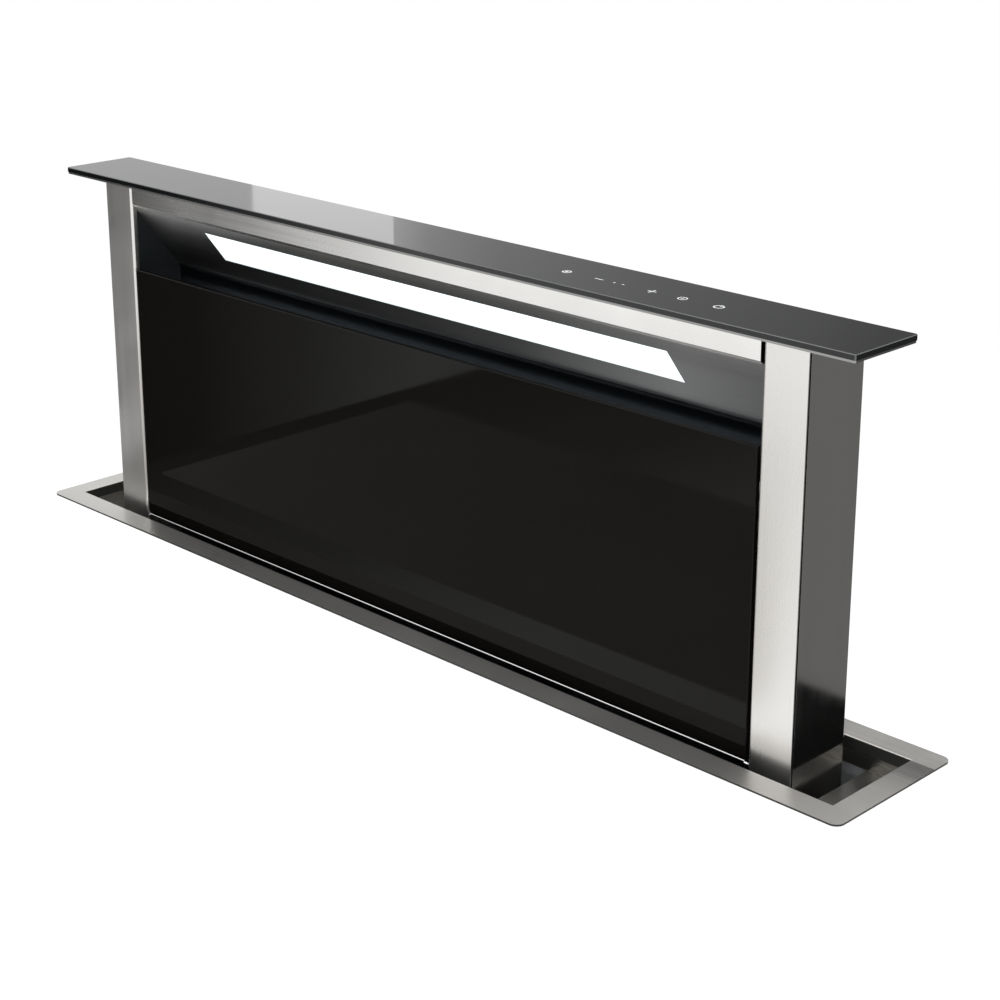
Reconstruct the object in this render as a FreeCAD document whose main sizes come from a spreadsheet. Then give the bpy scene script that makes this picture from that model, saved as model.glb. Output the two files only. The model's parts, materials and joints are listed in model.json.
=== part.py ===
import FreeCAD, Part
import math
import os
import re
import Sketcher

# Downdraft vent for a kitchen worktop, drawn raised. Millimetres, +X right, +Y to the back, +Z up.
# Z is zero on the worktop surface and X, Y are zero in the middle of the worktop flange.

V = FreeCAD.Vector
doc = FreeCAD.newDocument("downdraft_vent")
sheet = doc.addObject("Spreadsheet::Sheet", "Sizes")

SIZES = [
    # worktop flange and the well behind it
    ("flange_wide", 880.0), ("flange_deep", 130.0), ("flange_top", 2.0), ("flange_corner", 7.0),
    ("seal_thick", 0.6), ("seal_inset", 4.0), ("seal_side", 4.3), ("seal_front", 6.1), ("seal_back", 5.4),
    ("flange_rim", 19.5), ("well_wide", "flange_wide - 2 * flange_rim"),
    ("well_front", -43.7), ("well_back", 44.4),
    ("lip_drop", 9.0), ("bend_edge", 0.9), ("sheet_thick", 1.2), ("tray_gap", 0.3),
    ("shelf_deep", 33.5), ("shelf_in", "well_wide / 2 - shelf_deep"),
    ("shelf_top", -18.0), ("shelf_lip", -40.0),
    # housing that hangs below the worktop
    ("house_side", "well_wide / 2 + 2 * sheet_thick + tray_gap"),
    ("house_top", -1.0), ("fold_start", -22.0), ("house_floor", -470.0), ("floor_thick", 1.5),
    ("foot_tall", 20.0), ("ground", "house_floor - foot_tall"), ("panel_fold", 10.0),
    ("apron_half", 180.0), ("apron_front", -168.0), ("vent_wide", 60.0), ("vent_deep", 12.0),
    ("foot_inset", 28.2), ("foot_x", "house_side - foot_inset"), ("foot_y", 34.0),
    ("foot_radius", 15.0), ("stud_radius", 4.0), ("pad_radius", 6.0), ("pad_thick", 4.0), ("pad_cone", 4.0),
    ("front_foot_inset", 15.0), ("front_foot_x", "apron_half - front_foot_inset"),
    ("front_foot_y", "apron_front + front_foot_inset + 3"),
    ("bracket_top", -30.0), ("bracket_tall", 60.0), ("bracket_foot", "bracket_top - bracket_tall"),
    ("bracket_reach", 27.6), ("bracket_out", "house_side + sheet_thick + bracket_reach"),
    ("bracket_half", 25.0), ("bracket_thick", 2.0), ("bracket_corner", 6.0), ("bracket_hole", 2.75),
    ("hole_edge", 10.0), ("bracket_hole_x", "bracket_out - hole_edge"), ("bracket_hole_y", 15.0),
    ("slot_wide", 6.0), ("slot_tall", 24.0), ("slot_edge", 10.0),
    # lifting tower
    ("tower_gap", 43.65), ("tower_wide", "well_wide - 2 * tower_gap"),
    ("tower_front", -31.2), ("tower_back", 28.6), ("tower_top", 298.3),
    ("tower_foot", -150.0), ("beam_thick", 2.0), ("beam_lip", 3.0), ("skin", 0.9),
    ("column_wide", 35.85), ("column_in", "tower_wide / 2 - column_wide"),
    ("shadow_groove", 1.6), ("column_return", 5.0), ("neck_deep", 10.3), ("column_round", 2.2),
    ("joint_gap", 2.3), ("rail_half", "column_in - joint_gap"),
    ("rail_foot", 281.0), ("rail_roll", 2.2), ("rail_fold_y", "tower_front + rail_roll"),
    ("rail_lip", 2.6), ("rail_fold_z", "rail_foot - rail_lip"),
    ("soffit_angle", 52.5), ("fold_y", 17.0), ("fold_round", 4.0), ("wall_foot", 196.0),
    ("plenum_foot", -100.0), ("plenum_top", 215.0), ("rear_fold", 14.0),
    ("window_wide", 124.0), ("window_bar", 14.0), ("window_mid", 12.0), ("window_front", -21.0),
    ("window_back", 18.0),
    # lamp in the intake
    ("lamp_end", 89.0), ("lamp_half", "column_in - lamp_end"), ("lamp_half_slope", 16.6),
    ("lamp_y", -10.95), ("lamp_fit", 0.2),
    ("lamp_rim", 4.0), ("lamp_rim_thick", 1.4), ("lamp_can_rim", 8.0), ("lamp_can_deep", 19.0),
    # cap
    ("cap_gap", 1.5), ("cap_wide", "well_wide - 2 * cap_gap"), ("cap_front", -42.4), ("cap_back", 24.2),
    ("cap_tray_thick", 1.7), ("cap_glass_thick", 4.0), ("cap_glass_foot", "tower_top + cap_tray_thick"),
    ("cap_top", "cap_glass_foot + cap_glass_thick"),
    ("cap_corner", 1.6), ("arris", 0.5), ("tray_inset", 0.4),
    ("touch_left", 25.0), ("touch_right", 195.0), ("touch_front", -18.0), ("touch_back", 10.0),
    ("touch_deep", 9.0), ("touch_foot", "cap_glass_foot - touch_deep"), ("touch_fit", 3.0),
    ("plug_inset", 12.0), ("plug_wide", 22.0), ("plug_deep", 10.0), ("plug_tall", 5.0),
    # hinged glass front
    ("glass_half", "column_in - joint_gap"), ("glass_thick", 4.0), ("glass_foot", 0.5), ("glass_top", 223.5),
    ("backing_inset", 8.7), ("backing_half", "glass_half - backing_inset"), ("backing_foot", 4.0),
    ("backing_drop", 5.5), ("backing_top", "glass_top - backing_drop"), ("backing_deep", 5.0),
    ("bar_foot", -7.0), ("bar_gap", 1.0), ("bar_deep", 4.5), ("bar_round", 1.2), ("bar_end", 0.7),
    ("lug_inset", 38.7), ("lug_near", "glass_half - lug_inset"), ("lug_wide", 18.0), ("lug_thick", 1.5),
    ("pivot_y", -28.4), ("pivot_z", -4.0), ("pivot_radius", 1.5), ("pivot_long", 2.6),
    ("running_fit", 0.05), ("apron_top", -9.0), ("apron_edge", 2.0),
    ("catch_drop", 8.0), ("catch_tall", 14.0), ("catch_wide", 14.0), ("catch_deep", 8.0),
    ("catch_gap", 0.3), ("strike_deep", 3.8), ("strike_edge", 1.0),
    # grease filters, leaning back in the air path
    ("filter_lean", 8.0), ("filter_y", -17.0), ("filter_z", 25.0), ("filter_tall", 180.0),
    ("filter_thick", 8.0), ("filter_half_gap", 1.5), ("filter_end", 5.0),
    ("filter_out", "column_in - filter_end"), ("filter_rim", 14.0),
    ("rail_thick", 2.5), ("pleat", 6.4), ("pleat_sheet", 1.6), ("pleat_front", 1.0), ("pleat_back", 4.4),
    # rack, pinion and synchronising shaft
    ("tooth_module", 2.5), ("pinion_teeth", 17.0), ("pressure_angle", 20.0), ("backlash", 0.15),
    ("rack_teeth", 47.0), ("rack_gap", 12.15), ("rack_in", "tower_wide / 2 + rack_gap"),
    ("rack_wide", 13.0), ("rack_out", "rack_in + rack_wide"), ("shaft_y", 13.7),
    ("shaft_z", -128.0), ("shaft_radius", 6.0), ("shaft_end", 3.0), ("shaft_half", "rack_out + shaft_end"),
    ("rack_foot", -458.5), ("rack_head", -88.0), ("hub_radius", 10.0), ("bush_radius", 9.0),
    ("bush_long", 3.85), ("bush_rim", 3.0), ("bush_rim_thick", 2.0),
    # guide rails and shoes
    ("guide_deep", 12.2), ("guide_in", "house_side - guide_deep"),
    ("guide_front", -30.0), ("guide_wide", 20.0), ("guide_back", "guide_front + guide_wide"),
    ("guide_wall", 2.0), ("mouth_edge", 5.0), ("mouth_front", "guide_front + mouth_edge"),
    ("mouth_back", "guide_back - mouth_edge"), ("guide_head", -30.0), ("guide_foot", -465.0),
    ("shoe_fit", 0.4), ("shoe_tall", 20.0), ("shoe_high", -66.0), ("shoe_low", "tower_foot"),
    ("plate_thick", 3.0), ("arm_gap", 3.0), ("arm_end", "guide_in - arm_gap"), ("arm_thick", 4.0),
    ("plate_front", -26.0), ("plate_back", 24.0), ("plate_drop", 4.0),
    # lift drive
    ("gearbox_wide", 44.0), ("gearbox_inset", 49.85),
    ("gearbox_right", "tower_wide / 2 - gearbox_inset"), ("gearbox_left", "gearbox_right - gearbox_wide"),
    ("gearbox_front", -24.0), ("gearbox_head", -106.0), ("gearbox_round", 4.0), ("gearbox_boss", 8.0),
    ("lift_motor_x", "gearbox_right - gearbox_wide / 2"), ("lift_motor_y", -5.0),
    ("lift_motor_radius", 18.5), ("lift_motor_head", -16.0),
    # blower
    ("fan_x", -40.0), ("fan_z", -300.0), ("wheel_radius", 80.0), ("blade_root", 66.0),
    ("blades", 32.0), ("blade_curve", 10.0), ("blade_thick", 1.3), ("blade_foot", -146.0), ("blade_head", -69.0),
    ("disc_thick", 1.5), ("shroud_thick", 1.5), ("boss_radius", 12.0), ("boss_head", -118.0),
    ("spindle_radius", 4.0),
    ("scroll_square", 22.0), ("scroll_small", 95.0), ("scroll_deep", 106.0), ("scroll_out", 190.0),
    ("tongue_high", 72.9), ("tongue_round", 5.0), ("inlet_radius", 75.0), ("motor_hole", 52.0),
    ("motor_radius", 46.0), ("motor_deep", 42.0), ("motor_plate_radius", 66.0), ("motor_plate", 2.0),
    ("bell_out", 84.0), ("bell_throat", 66.2), ("bell_end", -66.0), ("bell_lead", 4.0),
    ("stand_thick", 3.0), ("stand_half", 69.0), ("stand_shift", 11.0),
    ("stand_near", 14.0), ("stand_far", 92.0), ("stand_fit", 0.3),
    # outlet and back-draught damper
    ("duct_radius", 74.5), ("duct_wall", 1.5), ("duct_y", -124.0), ("duct_z", -176.0),
    ("taper_end", -290.0), ("collar_long", 55.0), ("duct_end", "taper_end - collar_long"),
    ("flap_back", 28.0), ("flap_x", "taper_end - flap_back"), ("flap_radius", 71.0),
    ("flap_thick", 1.2), ("flap_gap", 4.2), ("sleeve_radius", 2.6), ("sleeve_long", 12.0),
    ("damper_pin", 1.5), ("pin_fit", 0.2),
    # control box, cable gland and limit switches
    ("box_left", 150.0), ("box_wide", 200.0), ("box_right", "box_left + box_wide"), ("box_front", -107.0),
    ("box_foot", -330.0), ("box_tall", 140.0), ("box_head", "box_foot + box_tall"), ("lid_thick", 1.4),
    ("gland_inset", 50.0), ("gland_x", "box_left + gland_inset"), ("gland_y", -78.0),
    ("gland_bore", 4.2), ("gland_radius", 11.0), ("gland_long", 22.0), ("gland_nut", 8.0),
    ("switch_out", 24.85), ("switch_wide", 28.0), ("switch_left", "-tower_wide / 2 + switch_out"),
    ("switch_right", "switch_left + switch_wide"), ("switch_front", 35.0), ("switch_tall", 13.5),
    ("travel", 302.0), ("striker_back", 41.0), ("striker_thick", 3.0), ("striker_wide", 16.0),
    ("striker_tall", 24.0), ("striker_wall", 2.0), ("plunger", 3.6),
]

for row, (name, number) in enumerate(SIZES, start=2):
    sheet.set("A%d" % row, name)
    sheet.set("B%d" % row, "=" + number if isinstance(number, str) else str(number))
    sheet.setAlias("B%d" % row, name)
doc.recompute()
NAMES = {name for name, number in SIZES}


def cell(text):
    """The sheet expression for a size written with plain names."""
    return re.sub(r"[a-z][a-z0-9_]*", lambda m: "Sizes." + m[0] if m[0] in NAMES else m[0], text)


def size(text):
    return float(sheet.evalExpression(cell(text)))


PLANES = {"X": "YZ_Plane", "Y": "XZ_Plane", "Z": "XY_Plane"}
KEPT = []


def keep(label, made):
    made.Label = label
    KEPT.append((label, made))
    return made


def body(name):
    return doc.addObject("PartDesign::Body", name)


def sketch(owner, axis, at, centre=("0", "0")):
    """A sketch square to one axis, its own origin moved to centre."""
    drawn = owner.newObject("Sketcher::SketchObject", owner.Name + "_outline")
    plane = [f for f in owner.Origin.OriginFeatures if f.Role == PLANES[axis]][0]
    drawn.AttachmentSupport = [(plane, "")]
    drawn.MapMode = "FlatFace"
    drawn.setExpression("AttachmentOffset.Base.x", cell(centre[0]))
    drawn.setExpression("AttachmentOffset.Base.y", cell(centre[1]))
    drawn.setExpression("AttachmentOffset.Base.z", cell("-(%s)" % at if axis == "Y" else at))
    return drawn


def tie(drawn, kind, args, text):
    """One driving constraint whose value comes from the sheet."""
    number = drawn.addConstraint(Sketcher.Constraint(kind, *args, size(text)))
    drawn.setExpression("Constraints[%d]" % number, cell(text))


def corners(drawn, points):
    """A closed run of straight sides."""
    spots = [V(size(x), size(y), 0) for x, y in points]
    first = drawn.GeometryCount
    for number, spot in enumerate(spots):
        drawn.addGeometry(Part.LineSegment(spot, spots[(number + 1) % len(spots)]))
    for number in range(len(spots)):
        after = first + (number + 1) % len(spots)
        drawn.addConstraint(Sketcher.Constraint("Coincident", first + number, 2, after, 1))
    for number, (x, y) in enumerate(points):
        tie(drawn, "DistanceX", (-1, 1, first + number, 1), x)
        tie(drawn, "DistanceY", (-1, 1, first + number, 1), y)


def ring(drawn, x, y, radius):
    made = drawn.addGeometry(Part.Circle(V(size(x), size(y), 0), V(0, 0, 1), size(radius)))
    tie(drawn, "DistanceX", (-1, 1, made, 3), x)
    tie(drawn, "DistanceY", (-1, 1, made, 3), y)
    tie(drawn, "Radius", (made,), radius)


def rectangle(left, right, low, high):
    return [(left, low), (right, low), (right, high), (left, high)]


def draw(drawn, loops):
    for loop in loops:
        if loop[0] == "ring":
            ring(drawn, *loop[1:])
        else:
            corners(drawn, loop)
    return drawn


def pad(owner, axis, start, end, loops, centre=("0", "0")):
    """Material between two heights on an axis."""
    drawn = draw(sketch(owner, axis, end if axis == "Y" else start, centre), loops)
    made = owner.newObject("PartDesign::Pad", owner.Name + "_pad")
    made.Profile = drawn
    made.setExpression("Length", cell("(%s) - (%s)" % (end, start)))
    drawn.Visibility = False
    return made


def pocket(owner, axis, start, end, loops, centre=("0", "0")):
    """A cut between two heights on an axis."""
    drawn = draw(sketch(owner, axis, start if axis == "Y" else end, centre), loops)
    made = owner.newObject("PartDesign::Pocket", owner.Name + "_pocket")
    made.Profile = drawn
    made.setExpression("Length", cell("(%s) - (%s)" % (end, start)))
    return made


def turned(owner, axis, centre, points):
    """A turned shape. Points are radius and height along the axis, which passes through centre."""
    if axis == "Z":
        drawn = sketch(owner, "Y", centre[1], (centre[0], "0"))
        line = "V_Axis"
    else:
        drawn = sketch(owner, "Z", centre[1], (centre[0], "0"))
        line = "V_Axis"
    corners(drawn, points)
    made = owner.newObject("PartDesign::Revolution", owner.Name + "_turned")
    made.Profile = drawn
    made.ReferenceAxis = (drawn, [line])
    made.Angle = 360
    return made


def along(edge, axis):
    """True for a straight edge that runs along one axis."""
    ends = [v.Point for v in edge.Vertexes]
    if len(ends) != 2 or edge.Curve.TypeId != "Part::GeomLine":
        return False
    step = ends[1] - ends[0]
    others = [abs(step[i]) for i in range(3) if "XYZ"[i] != axis]
    return max(others) < 1e-6 < step.Length


def soften(owner, radius, test, kind="Fillet"):
    """Rounds or chamfers the edges that pass a test."""
    doc.recompute()
    tip = owner.Tip
    names = ["Edge%d" % n for n, edge in enumerate(tip.Shape.Edges, start=1) if test(edge)]
    made = owner.newObject("PartDesign::" + kind, owner.Name + "_" + kind.lower())
    made.Base = (tip, names)
    made.setExpression("Radius" if kind == "Fillet" else "Size", cell(radius))
    doc.recompute()
    return made


def linear(owner, feature, direction, length, count):
    made = owner.newObject("PartDesign::LinearPattern", owner.Name + "_row")
    made.Originals = [feature]
    made.Direction = direction
    made.setExpression("Length", cell(length))
    made.setExpression("Occurrences", cell(count))
    owner.Tip = made
    return made


def around(owner, feature, axis, count):
    made = owner.newObject("PartDesign::PolarPattern", owner.Name + "_round")
    made.Originals = [feature]
    made.Axis = axis
    made.Angle = 360
    made.setExpression("Occurrences", cell(count))
    owner.Tip = made
    return made


def mirrored(name, source):
    made = doc.addObject("Part::Mirroring", name)
    made.Source = source
    made.Normal = V(1, 0, 0)
    return made


def pair(label, source):
    """A piece and its mirror image on the other side, as one node."""
    made = doc.addObject("Part::Compound", label)
    made.Links = [source, mirrored(label + "_other", source)]
    return keep(label, made)


def handed(label, source):
    """A right-hand piece and its left-hand mirror image, as two nodes."""
    keep(label + "_right", source)
    return keep(label + "_left", mirrored(label + "_left", source))


def seat(made, x, y, z, turn=None):
    made.setExpression("Placement.Base.x", cell(x))
    made.setExpression("Placement.Base.y", cell(y))
    made.setExpression("Placement.Base.z", cell(z))
    if turn:
        made.setExpression("Placement.Rotation.Angle", cell(turn))
    return made


def block(name, spans, turn=None, origin=None):
    """A box between three pairs of faces, or in a frame turned about X at an origin."""
    (x0, x1), (y0, y1), (z0, z1) = spans
    made = doc.addObject("Part::Box", name)
    for prop, low, high in (("Length", x0, x1), ("Width", y0, y1), ("Height", z0, z1)):
        made.setExpression(prop, cell("(%s) - (%s)" % (high, low)))
    if not turn:
        return seat(made, x0, y0, z0)
    made.Placement = FreeCAD.Placement(V(), FreeCAD.Rotation(V(1, 0, 0), size(turn)))
    y = "%s + (%s) * cos(%s) - (%s) * sin(%s)" % (origin[0], y0, turn, z0, turn)
    z = "%s + (%s) * sin(%s) + (%s) * cos(%s)" % (origin[1], y0, turn, z0, turn)
    return seat(made, x0, y, z)


def fuse(label, shapes):
    made = doc.addObject("Part::MultiFuse", label)
    made.Shapes = shapes
    return made


def less(label, base, tool):
    made = doc.addObject("Part::Cut", label)
    made.Base = base
    made.Tool = tool
    return made


# Faces that several pieces share
HOUSE_X = "house_side"
HOUSE_F = "(well_front - 2 * sheet_thick - tray_gap)"
HOUSE_B = "(well_back + 2 * sheet_thick + tray_gap)"
TRAY_X = "(well_wide / 2 + sheet_thick + tray_gap)"
TRAY_F = "(well_front - sheet_thick - tray_gap)"
TRAY_B = "(well_back + sheet_thick + tray_gap)"
SIDE_X = "(tower_wide / 2)"
REAR_Y = "(tower_back - 2 * sheet_thick)"
BLOWER_BACK = "(%s - sheet_thick)" % HOUSE_F
BLOWER_FRONT = "(%s - scroll_deep)" % BLOWER_BACK
FAN = ("fan_x", "fan_z")
SHAFT = ("shaft_y", "shaft_z")
PITCH = size("tooth_module * pinion_teeth / 2")


# ---- worktop flange and well ----

def worktop_flange():
    """Flat stainless frame on the worktop with a lip turned down round the well."""
    made = body("worktop_flange")
    well = rectangle("-well_wide / 2", "well_wide / 2", "well_front", "well_back")
    outside = rectangle("-flange_wide / 2", "flange_wide / 2", "-flange_deep / 2", "flange_deep / 2")
    around_lip = rectangle("-well_wide / 2 - sheet_thick", "well_wide / 2 + sheet_thick",
                           "well_front - sheet_thick", "well_back + sheet_thick")
    pad(made, "Z", "seal_thick", "flange_top", [outside, well])
    pad(made, "Z", "flange_top - lip_drop", "seal_thick", [around_lip, well])
    half = size("flange_wide / 2")
    soften(made, "flange_corner", lambda e: along(e, "Z") and abs(abs(e.Vertexes[0].X) - half) < 0.01)
    top = size("flange_top")
    inner = size("well_wide / 2") + 0.01
    soften(made, "bend_edge", lambda e: abs(e.BoundBox.ZMin - top) < 0.01 and
           max(abs(e.BoundBox.XMin), abs(e.BoundBox.XMax)) < inner)
    return keep("worktop_flange", made)


def flange_seal():
    """Foam strip that the flange presses on the worktop."""
    made = body("flange_seal")
    outside = rectangle("-flange_wide / 2 + seal_inset", "flange_wide / 2 - seal_inset",
                        "-flange_deep / 2 + seal_inset", "flange_deep / 2 - seal_inset")
    inside = rectangle("-%s - seal_side" % HOUSE_X, "%s + seal_side" % HOUSE_X,
                       HOUSE_F + " - seal_front", HOUSE_B + " + seal_back")
    pad(made, "Z", "0", "seal_thick", [outside, inside])
    return keep("flange_seal", made)


def recess_tray():
    """Walls of the well with a shelf at each end, and a lip under each shelf."""
    made = body("recess_tray")
    inside = rectangle("-" + TRAY_X, TRAY_X, TRAY_F, TRAY_B)
    outside = rectangle("-" + HOUSE_X, HOUSE_X, HOUSE_F, HOUSE_B)
    pad(made, "Z", "shelf_top - sheet_thick", "seal_thick", [outside, inside])
    for side in ("", "-"):
        near = side + "shelf_in"
        lip = side + "(shelf_in + sheet_thick)"
        far = side + TRAY_X
        shelf = rectangle(near, far, TRAY_F, TRAY_B)
        pad(made, "Z", "shelf_top - sheet_thick", "shelf_top", [shelf])
        pad(made, "Z", "shelf_lip", "shelf_top - sheet_thick", [rectangle(near, lip, TRAY_F, TRAY_B)])
    return keep("recess_tray", made)


# ---- housing below the worktop ----

def housing():
    """Four sheet panels and a floor with an apron that carries the blower."""
    front = body("housing_front_panel")
    wide = rectangle("-%s - sheet_thick" % HOUSE_X, "%s + sheet_thick" % HOUSE_X,
                     "house_floor", "house_top")
    pad(front, "Y", BLOWER_BACK, HOUSE_F, [wide, ("ring", "fan_x", "fan_z", "inlet_radius")])
    keep("housing_front_panel", front)

    rear = body("housing_rear_panel")
    pad(rear, "Y", HOUSE_B, "%s + sheet_thick" % HOUSE_B, [wide])
    keep("housing_rear_panel", rear)

    side = body("housing_side_right")
    out = "%s + sheet_thick" % HOUSE_X
    fold = "%s - panel_fold" % HOUSE_X
    channel = [(out, HOUSE_F), (out, HOUSE_B), (fold, HOUSE_B), (fold, HOUSE_B + " - sheet_thick"),
               (HOUSE_X, HOUSE_B + " - sheet_thick"), (HOUSE_X, HOUSE_F + " + sheet_thick"),
               (fold, HOUSE_F + " + sheet_thick"), (fold, HOUSE_F)]
    pad(side, "Z", "house_floor", "fold_start", [channel])
    pad(side, "Z", "fold_start", "house_top", [rectangle(HOUSE_X, out, HOUSE_F, HOUSE_B)])
    handed("housing_side", side)

    floor = body("housing_base")
    edge = "(%s + sheet_thick)" % HOUSE_X
    plan = [("-" + edge, BLOWER_BACK), ("-apron_half", BLOWER_BACK), ("-apron_half", "apron_front"),
            ("apron_half", "apron_front"), ("apron_half", BLOWER_BACK), (edge, BLOWER_BACK),
            (edge, HOUSE_B + " + sheet_thick"), ("-" + edge, HOUSE_B + " + sheet_thick")]
    pad(floor, "Z", "house_floor - floor_thick", "house_floor", [plan])
    starts = ("-0.78 * %s" % HOUSE_X, "-0.26 * %s" % HOUSE_X, "0.26 * %s - vent_wide" % HOUSE_X,
              "0.78 * %s - vent_wide" % HOUSE_X)
    slots = [rectangle(x, x + " + vent_wide", "-vent_deep / 2", "vent_deep / 2") for x in starts]
    pocket(floor, "Z", "house_floor - floor_thick", "house_floor", slots)
    front_edge = size("apron_front") + 0.01
    soften(floor, "flange_corner", lambda e: along(e, "Z") and e.Vertexes[0].Y < front_edge)
    keep("housing_base", floor)


def levelling_feet():
    """Six turned feet with a stud up to the floor."""
    made = []
    foot_top = "house_floor - floor_thick"
    crest = "ground + pad_thick + pad_cone"
    profile = [("0", "ground"), ("foot_radius", "ground"), ("foot_radius", "ground + pad_thick"),
               ("pad_radius", crest), ("stud_radius", crest), ("stud_radius", foot_top), ("0", foot_top)]
    places = (("foot_x", "foot_y"), ("foot_x", "-foot_y"), ("front_foot_x", "front_foot_y"))
    for number, place in enumerate(places):
        foot = body("foot_%d" % number)
        turned(foot, "Z", place, profile)
        made += [foot, mirrored("foot_%d_other" % number, foot)]
    feet = doc.addObject("Part::Compound", "levelling_feet")
    feet.Links = made
    return keep("levelling_feet", feet)


def mounting_brackets():
    """Angle brackets that screw up into the worktop beside its cut-out."""
    made = body("mounting_bracket")
    face = "(%s + sheet_thick)" % HOUSE_X
    angle = [(face, "bracket_foot"), (face + " + bracket_thick", "bracket_foot"),
             (face + " + bracket_thick", "bracket_top - bracket_thick"),
             ("bracket_out", "bracket_top - bracket_thick"), ("bracket_out", "bracket_top"),
             (face, "bracket_top")]
    pad(made, "Y", "-bracket_half", "bracket_half", [angle])
    holes = [("ring", "bracket_hole_x", y, "bracket_hole") for y in ("-bracket_hole_y", "bracket_hole_y")]
    pocket(made, "Z", "bracket_top - bracket_thick", "bracket_top", holes)
    slots = [rectangle(y + " - slot_wide / 2", y + " + slot_wide / 2", "bracket_foot + slot_edge",
                       "bracket_foot + slot_edge + slot_tall") for y in ("-bracket_hole_y", "bracket_hole_y")]
    pocket(made, "X", face, face + " + bracket_thick", slots)
    out = size("bracket_out")
    soften(made, "bracket_corner", lambda e: along(e, "Z") and e.Vertexes[0].X > out - 0.01)
    return pair("mounting_brackets", made)


def guide_rails():
    """Aluminium channels that the tower runs in, one at each end."""
    made = body("guide_rail")
    back = "(%s - guide_wall)" % HOUSE_X
    lip = "guide_in + guide_wall"
    outline = [(HOUSE_X, "guide_front"), (HOUSE_X, "guide_back"), ("guide_in", "guide_back"),
               ("guide_in", "mouth_back"), (lip, "mouth_back"), (lip, "guide_back - guide_wall"),
               (back, "guide_back - guide_wall"), (back, "guide_front + guide_wall"),
               (lip, "guide_front + guide_wall"), (lip, "mouth_front"), ("guide_in", "mouth_front"),
               ("guide_in", "guide_front")]
    pad(made, "Z", "guide_foot", "guide_head", [outline])
    return pair("guide_rails", made)


def lift_racks():
    """Upright racks on the rear panel, their teeth towards the pinions."""
    made = body("lift_rack")
    line = "(shaft_y + tooth_module * pinion_teeth / 2)"
    root = line + " + 1.25 * tooth_module"
    tip = line + " - tooth_module"
    pad(made, "X", "rack_in", "rack_out", [rectangle(root, HOUSE_B, "rack_foot", "rack_head")])
    half = "(pi * tooth_module / 4 - backlash / 2)"
    at_root = "(%s + 1.25 * tooth_module * tan(pressure_angle))" % half
    at_tip = "(%s - tooth_module * tan(pressure_angle))" % half
    first = "(shaft_z - (rack_teeth - 5.5) * pi * tooth_module)"
    tooth = [(root, first + " - " + at_root), (tip, first + " - " + at_tip),
             (tip, first + " + " + at_tip), (root, first + " + " + at_root)]
    cog = pad(made, "X", "rack_in", "rack_out", [tooth])
    linear(made, cog, (cog.Profile[0], ["V_Axis"]), "(rack_teeth - 1) * pi * tooth_module", "rack_teeth")
    return pair("lift_racks", made)


# ---- blower ----

def scroll_path(drawn, inset):
    """Four-centre fan scroll: each quarter turn grows the radius by the side of a small square."""
    square = size("scroll_square")
    small = size("scroll_small - " + inset)
    half = square / 2
    out = -size("scroll_out + " + inset)
    tongue = size("tongue_high + " + inset)
    start = math.degrees(math.asin((tongue + half) / small))
    middles = [V(-half, -half, 0), V(half, -half, 0), V(half, half, 0), V(-half, half, 0)]
    texts = [("-scroll_square / 2", "-scroll_square / 2"), ("scroll_square / 2", "-scroll_square / 2"),
             ("scroll_square / 2", "scroll_square / 2"), ("-scroll_square / 2", "scroll_square / 2")]
    begin = [180 - start, 180, 270, 0]
    for number, middle in enumerate(middles):
        circle = Part.Circle(middle, V(0, 0, 1), small + number * square)
        stop = (180, 270, 360, 90)[number]
        drawn.addGeometry(Part.ArcOfCircle(circle, math.radians(begin[number]), math.radians(stop)))
    roof = half + small + 3 * square
    spots = [V(-half, roof, 0), V(out, roof, 0), V(out, tongue, 0),
             V(-half - small * math.cos(math.radians(start)), tongue, 0)]
    for number in range(3):
        drawn.addGeometry(Part.LineSegment(spots[number], spots[number + 1]))
    for number in range(6):
        drawn.addConstraint(Sketcher.Constraint("Coincident", number, 2, number + 1, 1))
    drawn.addConstraint(Sketcher.Constraint("Coincident", 6, 2, 0, 1))
    for number, (x, y) in enumerate(texts):
        tie(drawn, "DistanceX", (-1, 1, number, 3), x)
        tie(drawn, "DistanceY", (-1, 1, number, 3), y)
    tie(drawn, "Radius", (0,), "scroll_small - " + inset)
    for number, (way, text) in enumerate((("DistanceY", "-scroll_square / 2"),
                                          ("DistanceX", "scroll_square / 2"),
                                          ("DistanceY", "scroll_square / 2"),
                                          ("DistanceX", "-scroll_square / 2"))):
        tie(drawn, way, (-1, 1, number, 2), text)
    drawn.addConstraint(Sketcher.Constraint("Horizontal", 4))
    tie(drawn, "DistanceX", (-1, 1, 4, 2), "-(scroll_out + %s)" % inset)
    drawn.addConstraint(Sketcher.Constraint("Vertical", 5))
    tie(drawn, "DistanceY", (-1, 1, 5, 2), "tongue_high + " + inset)
    drawn.addConstraint(Sketcher.Constraint("Horizontal", 6))


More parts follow.
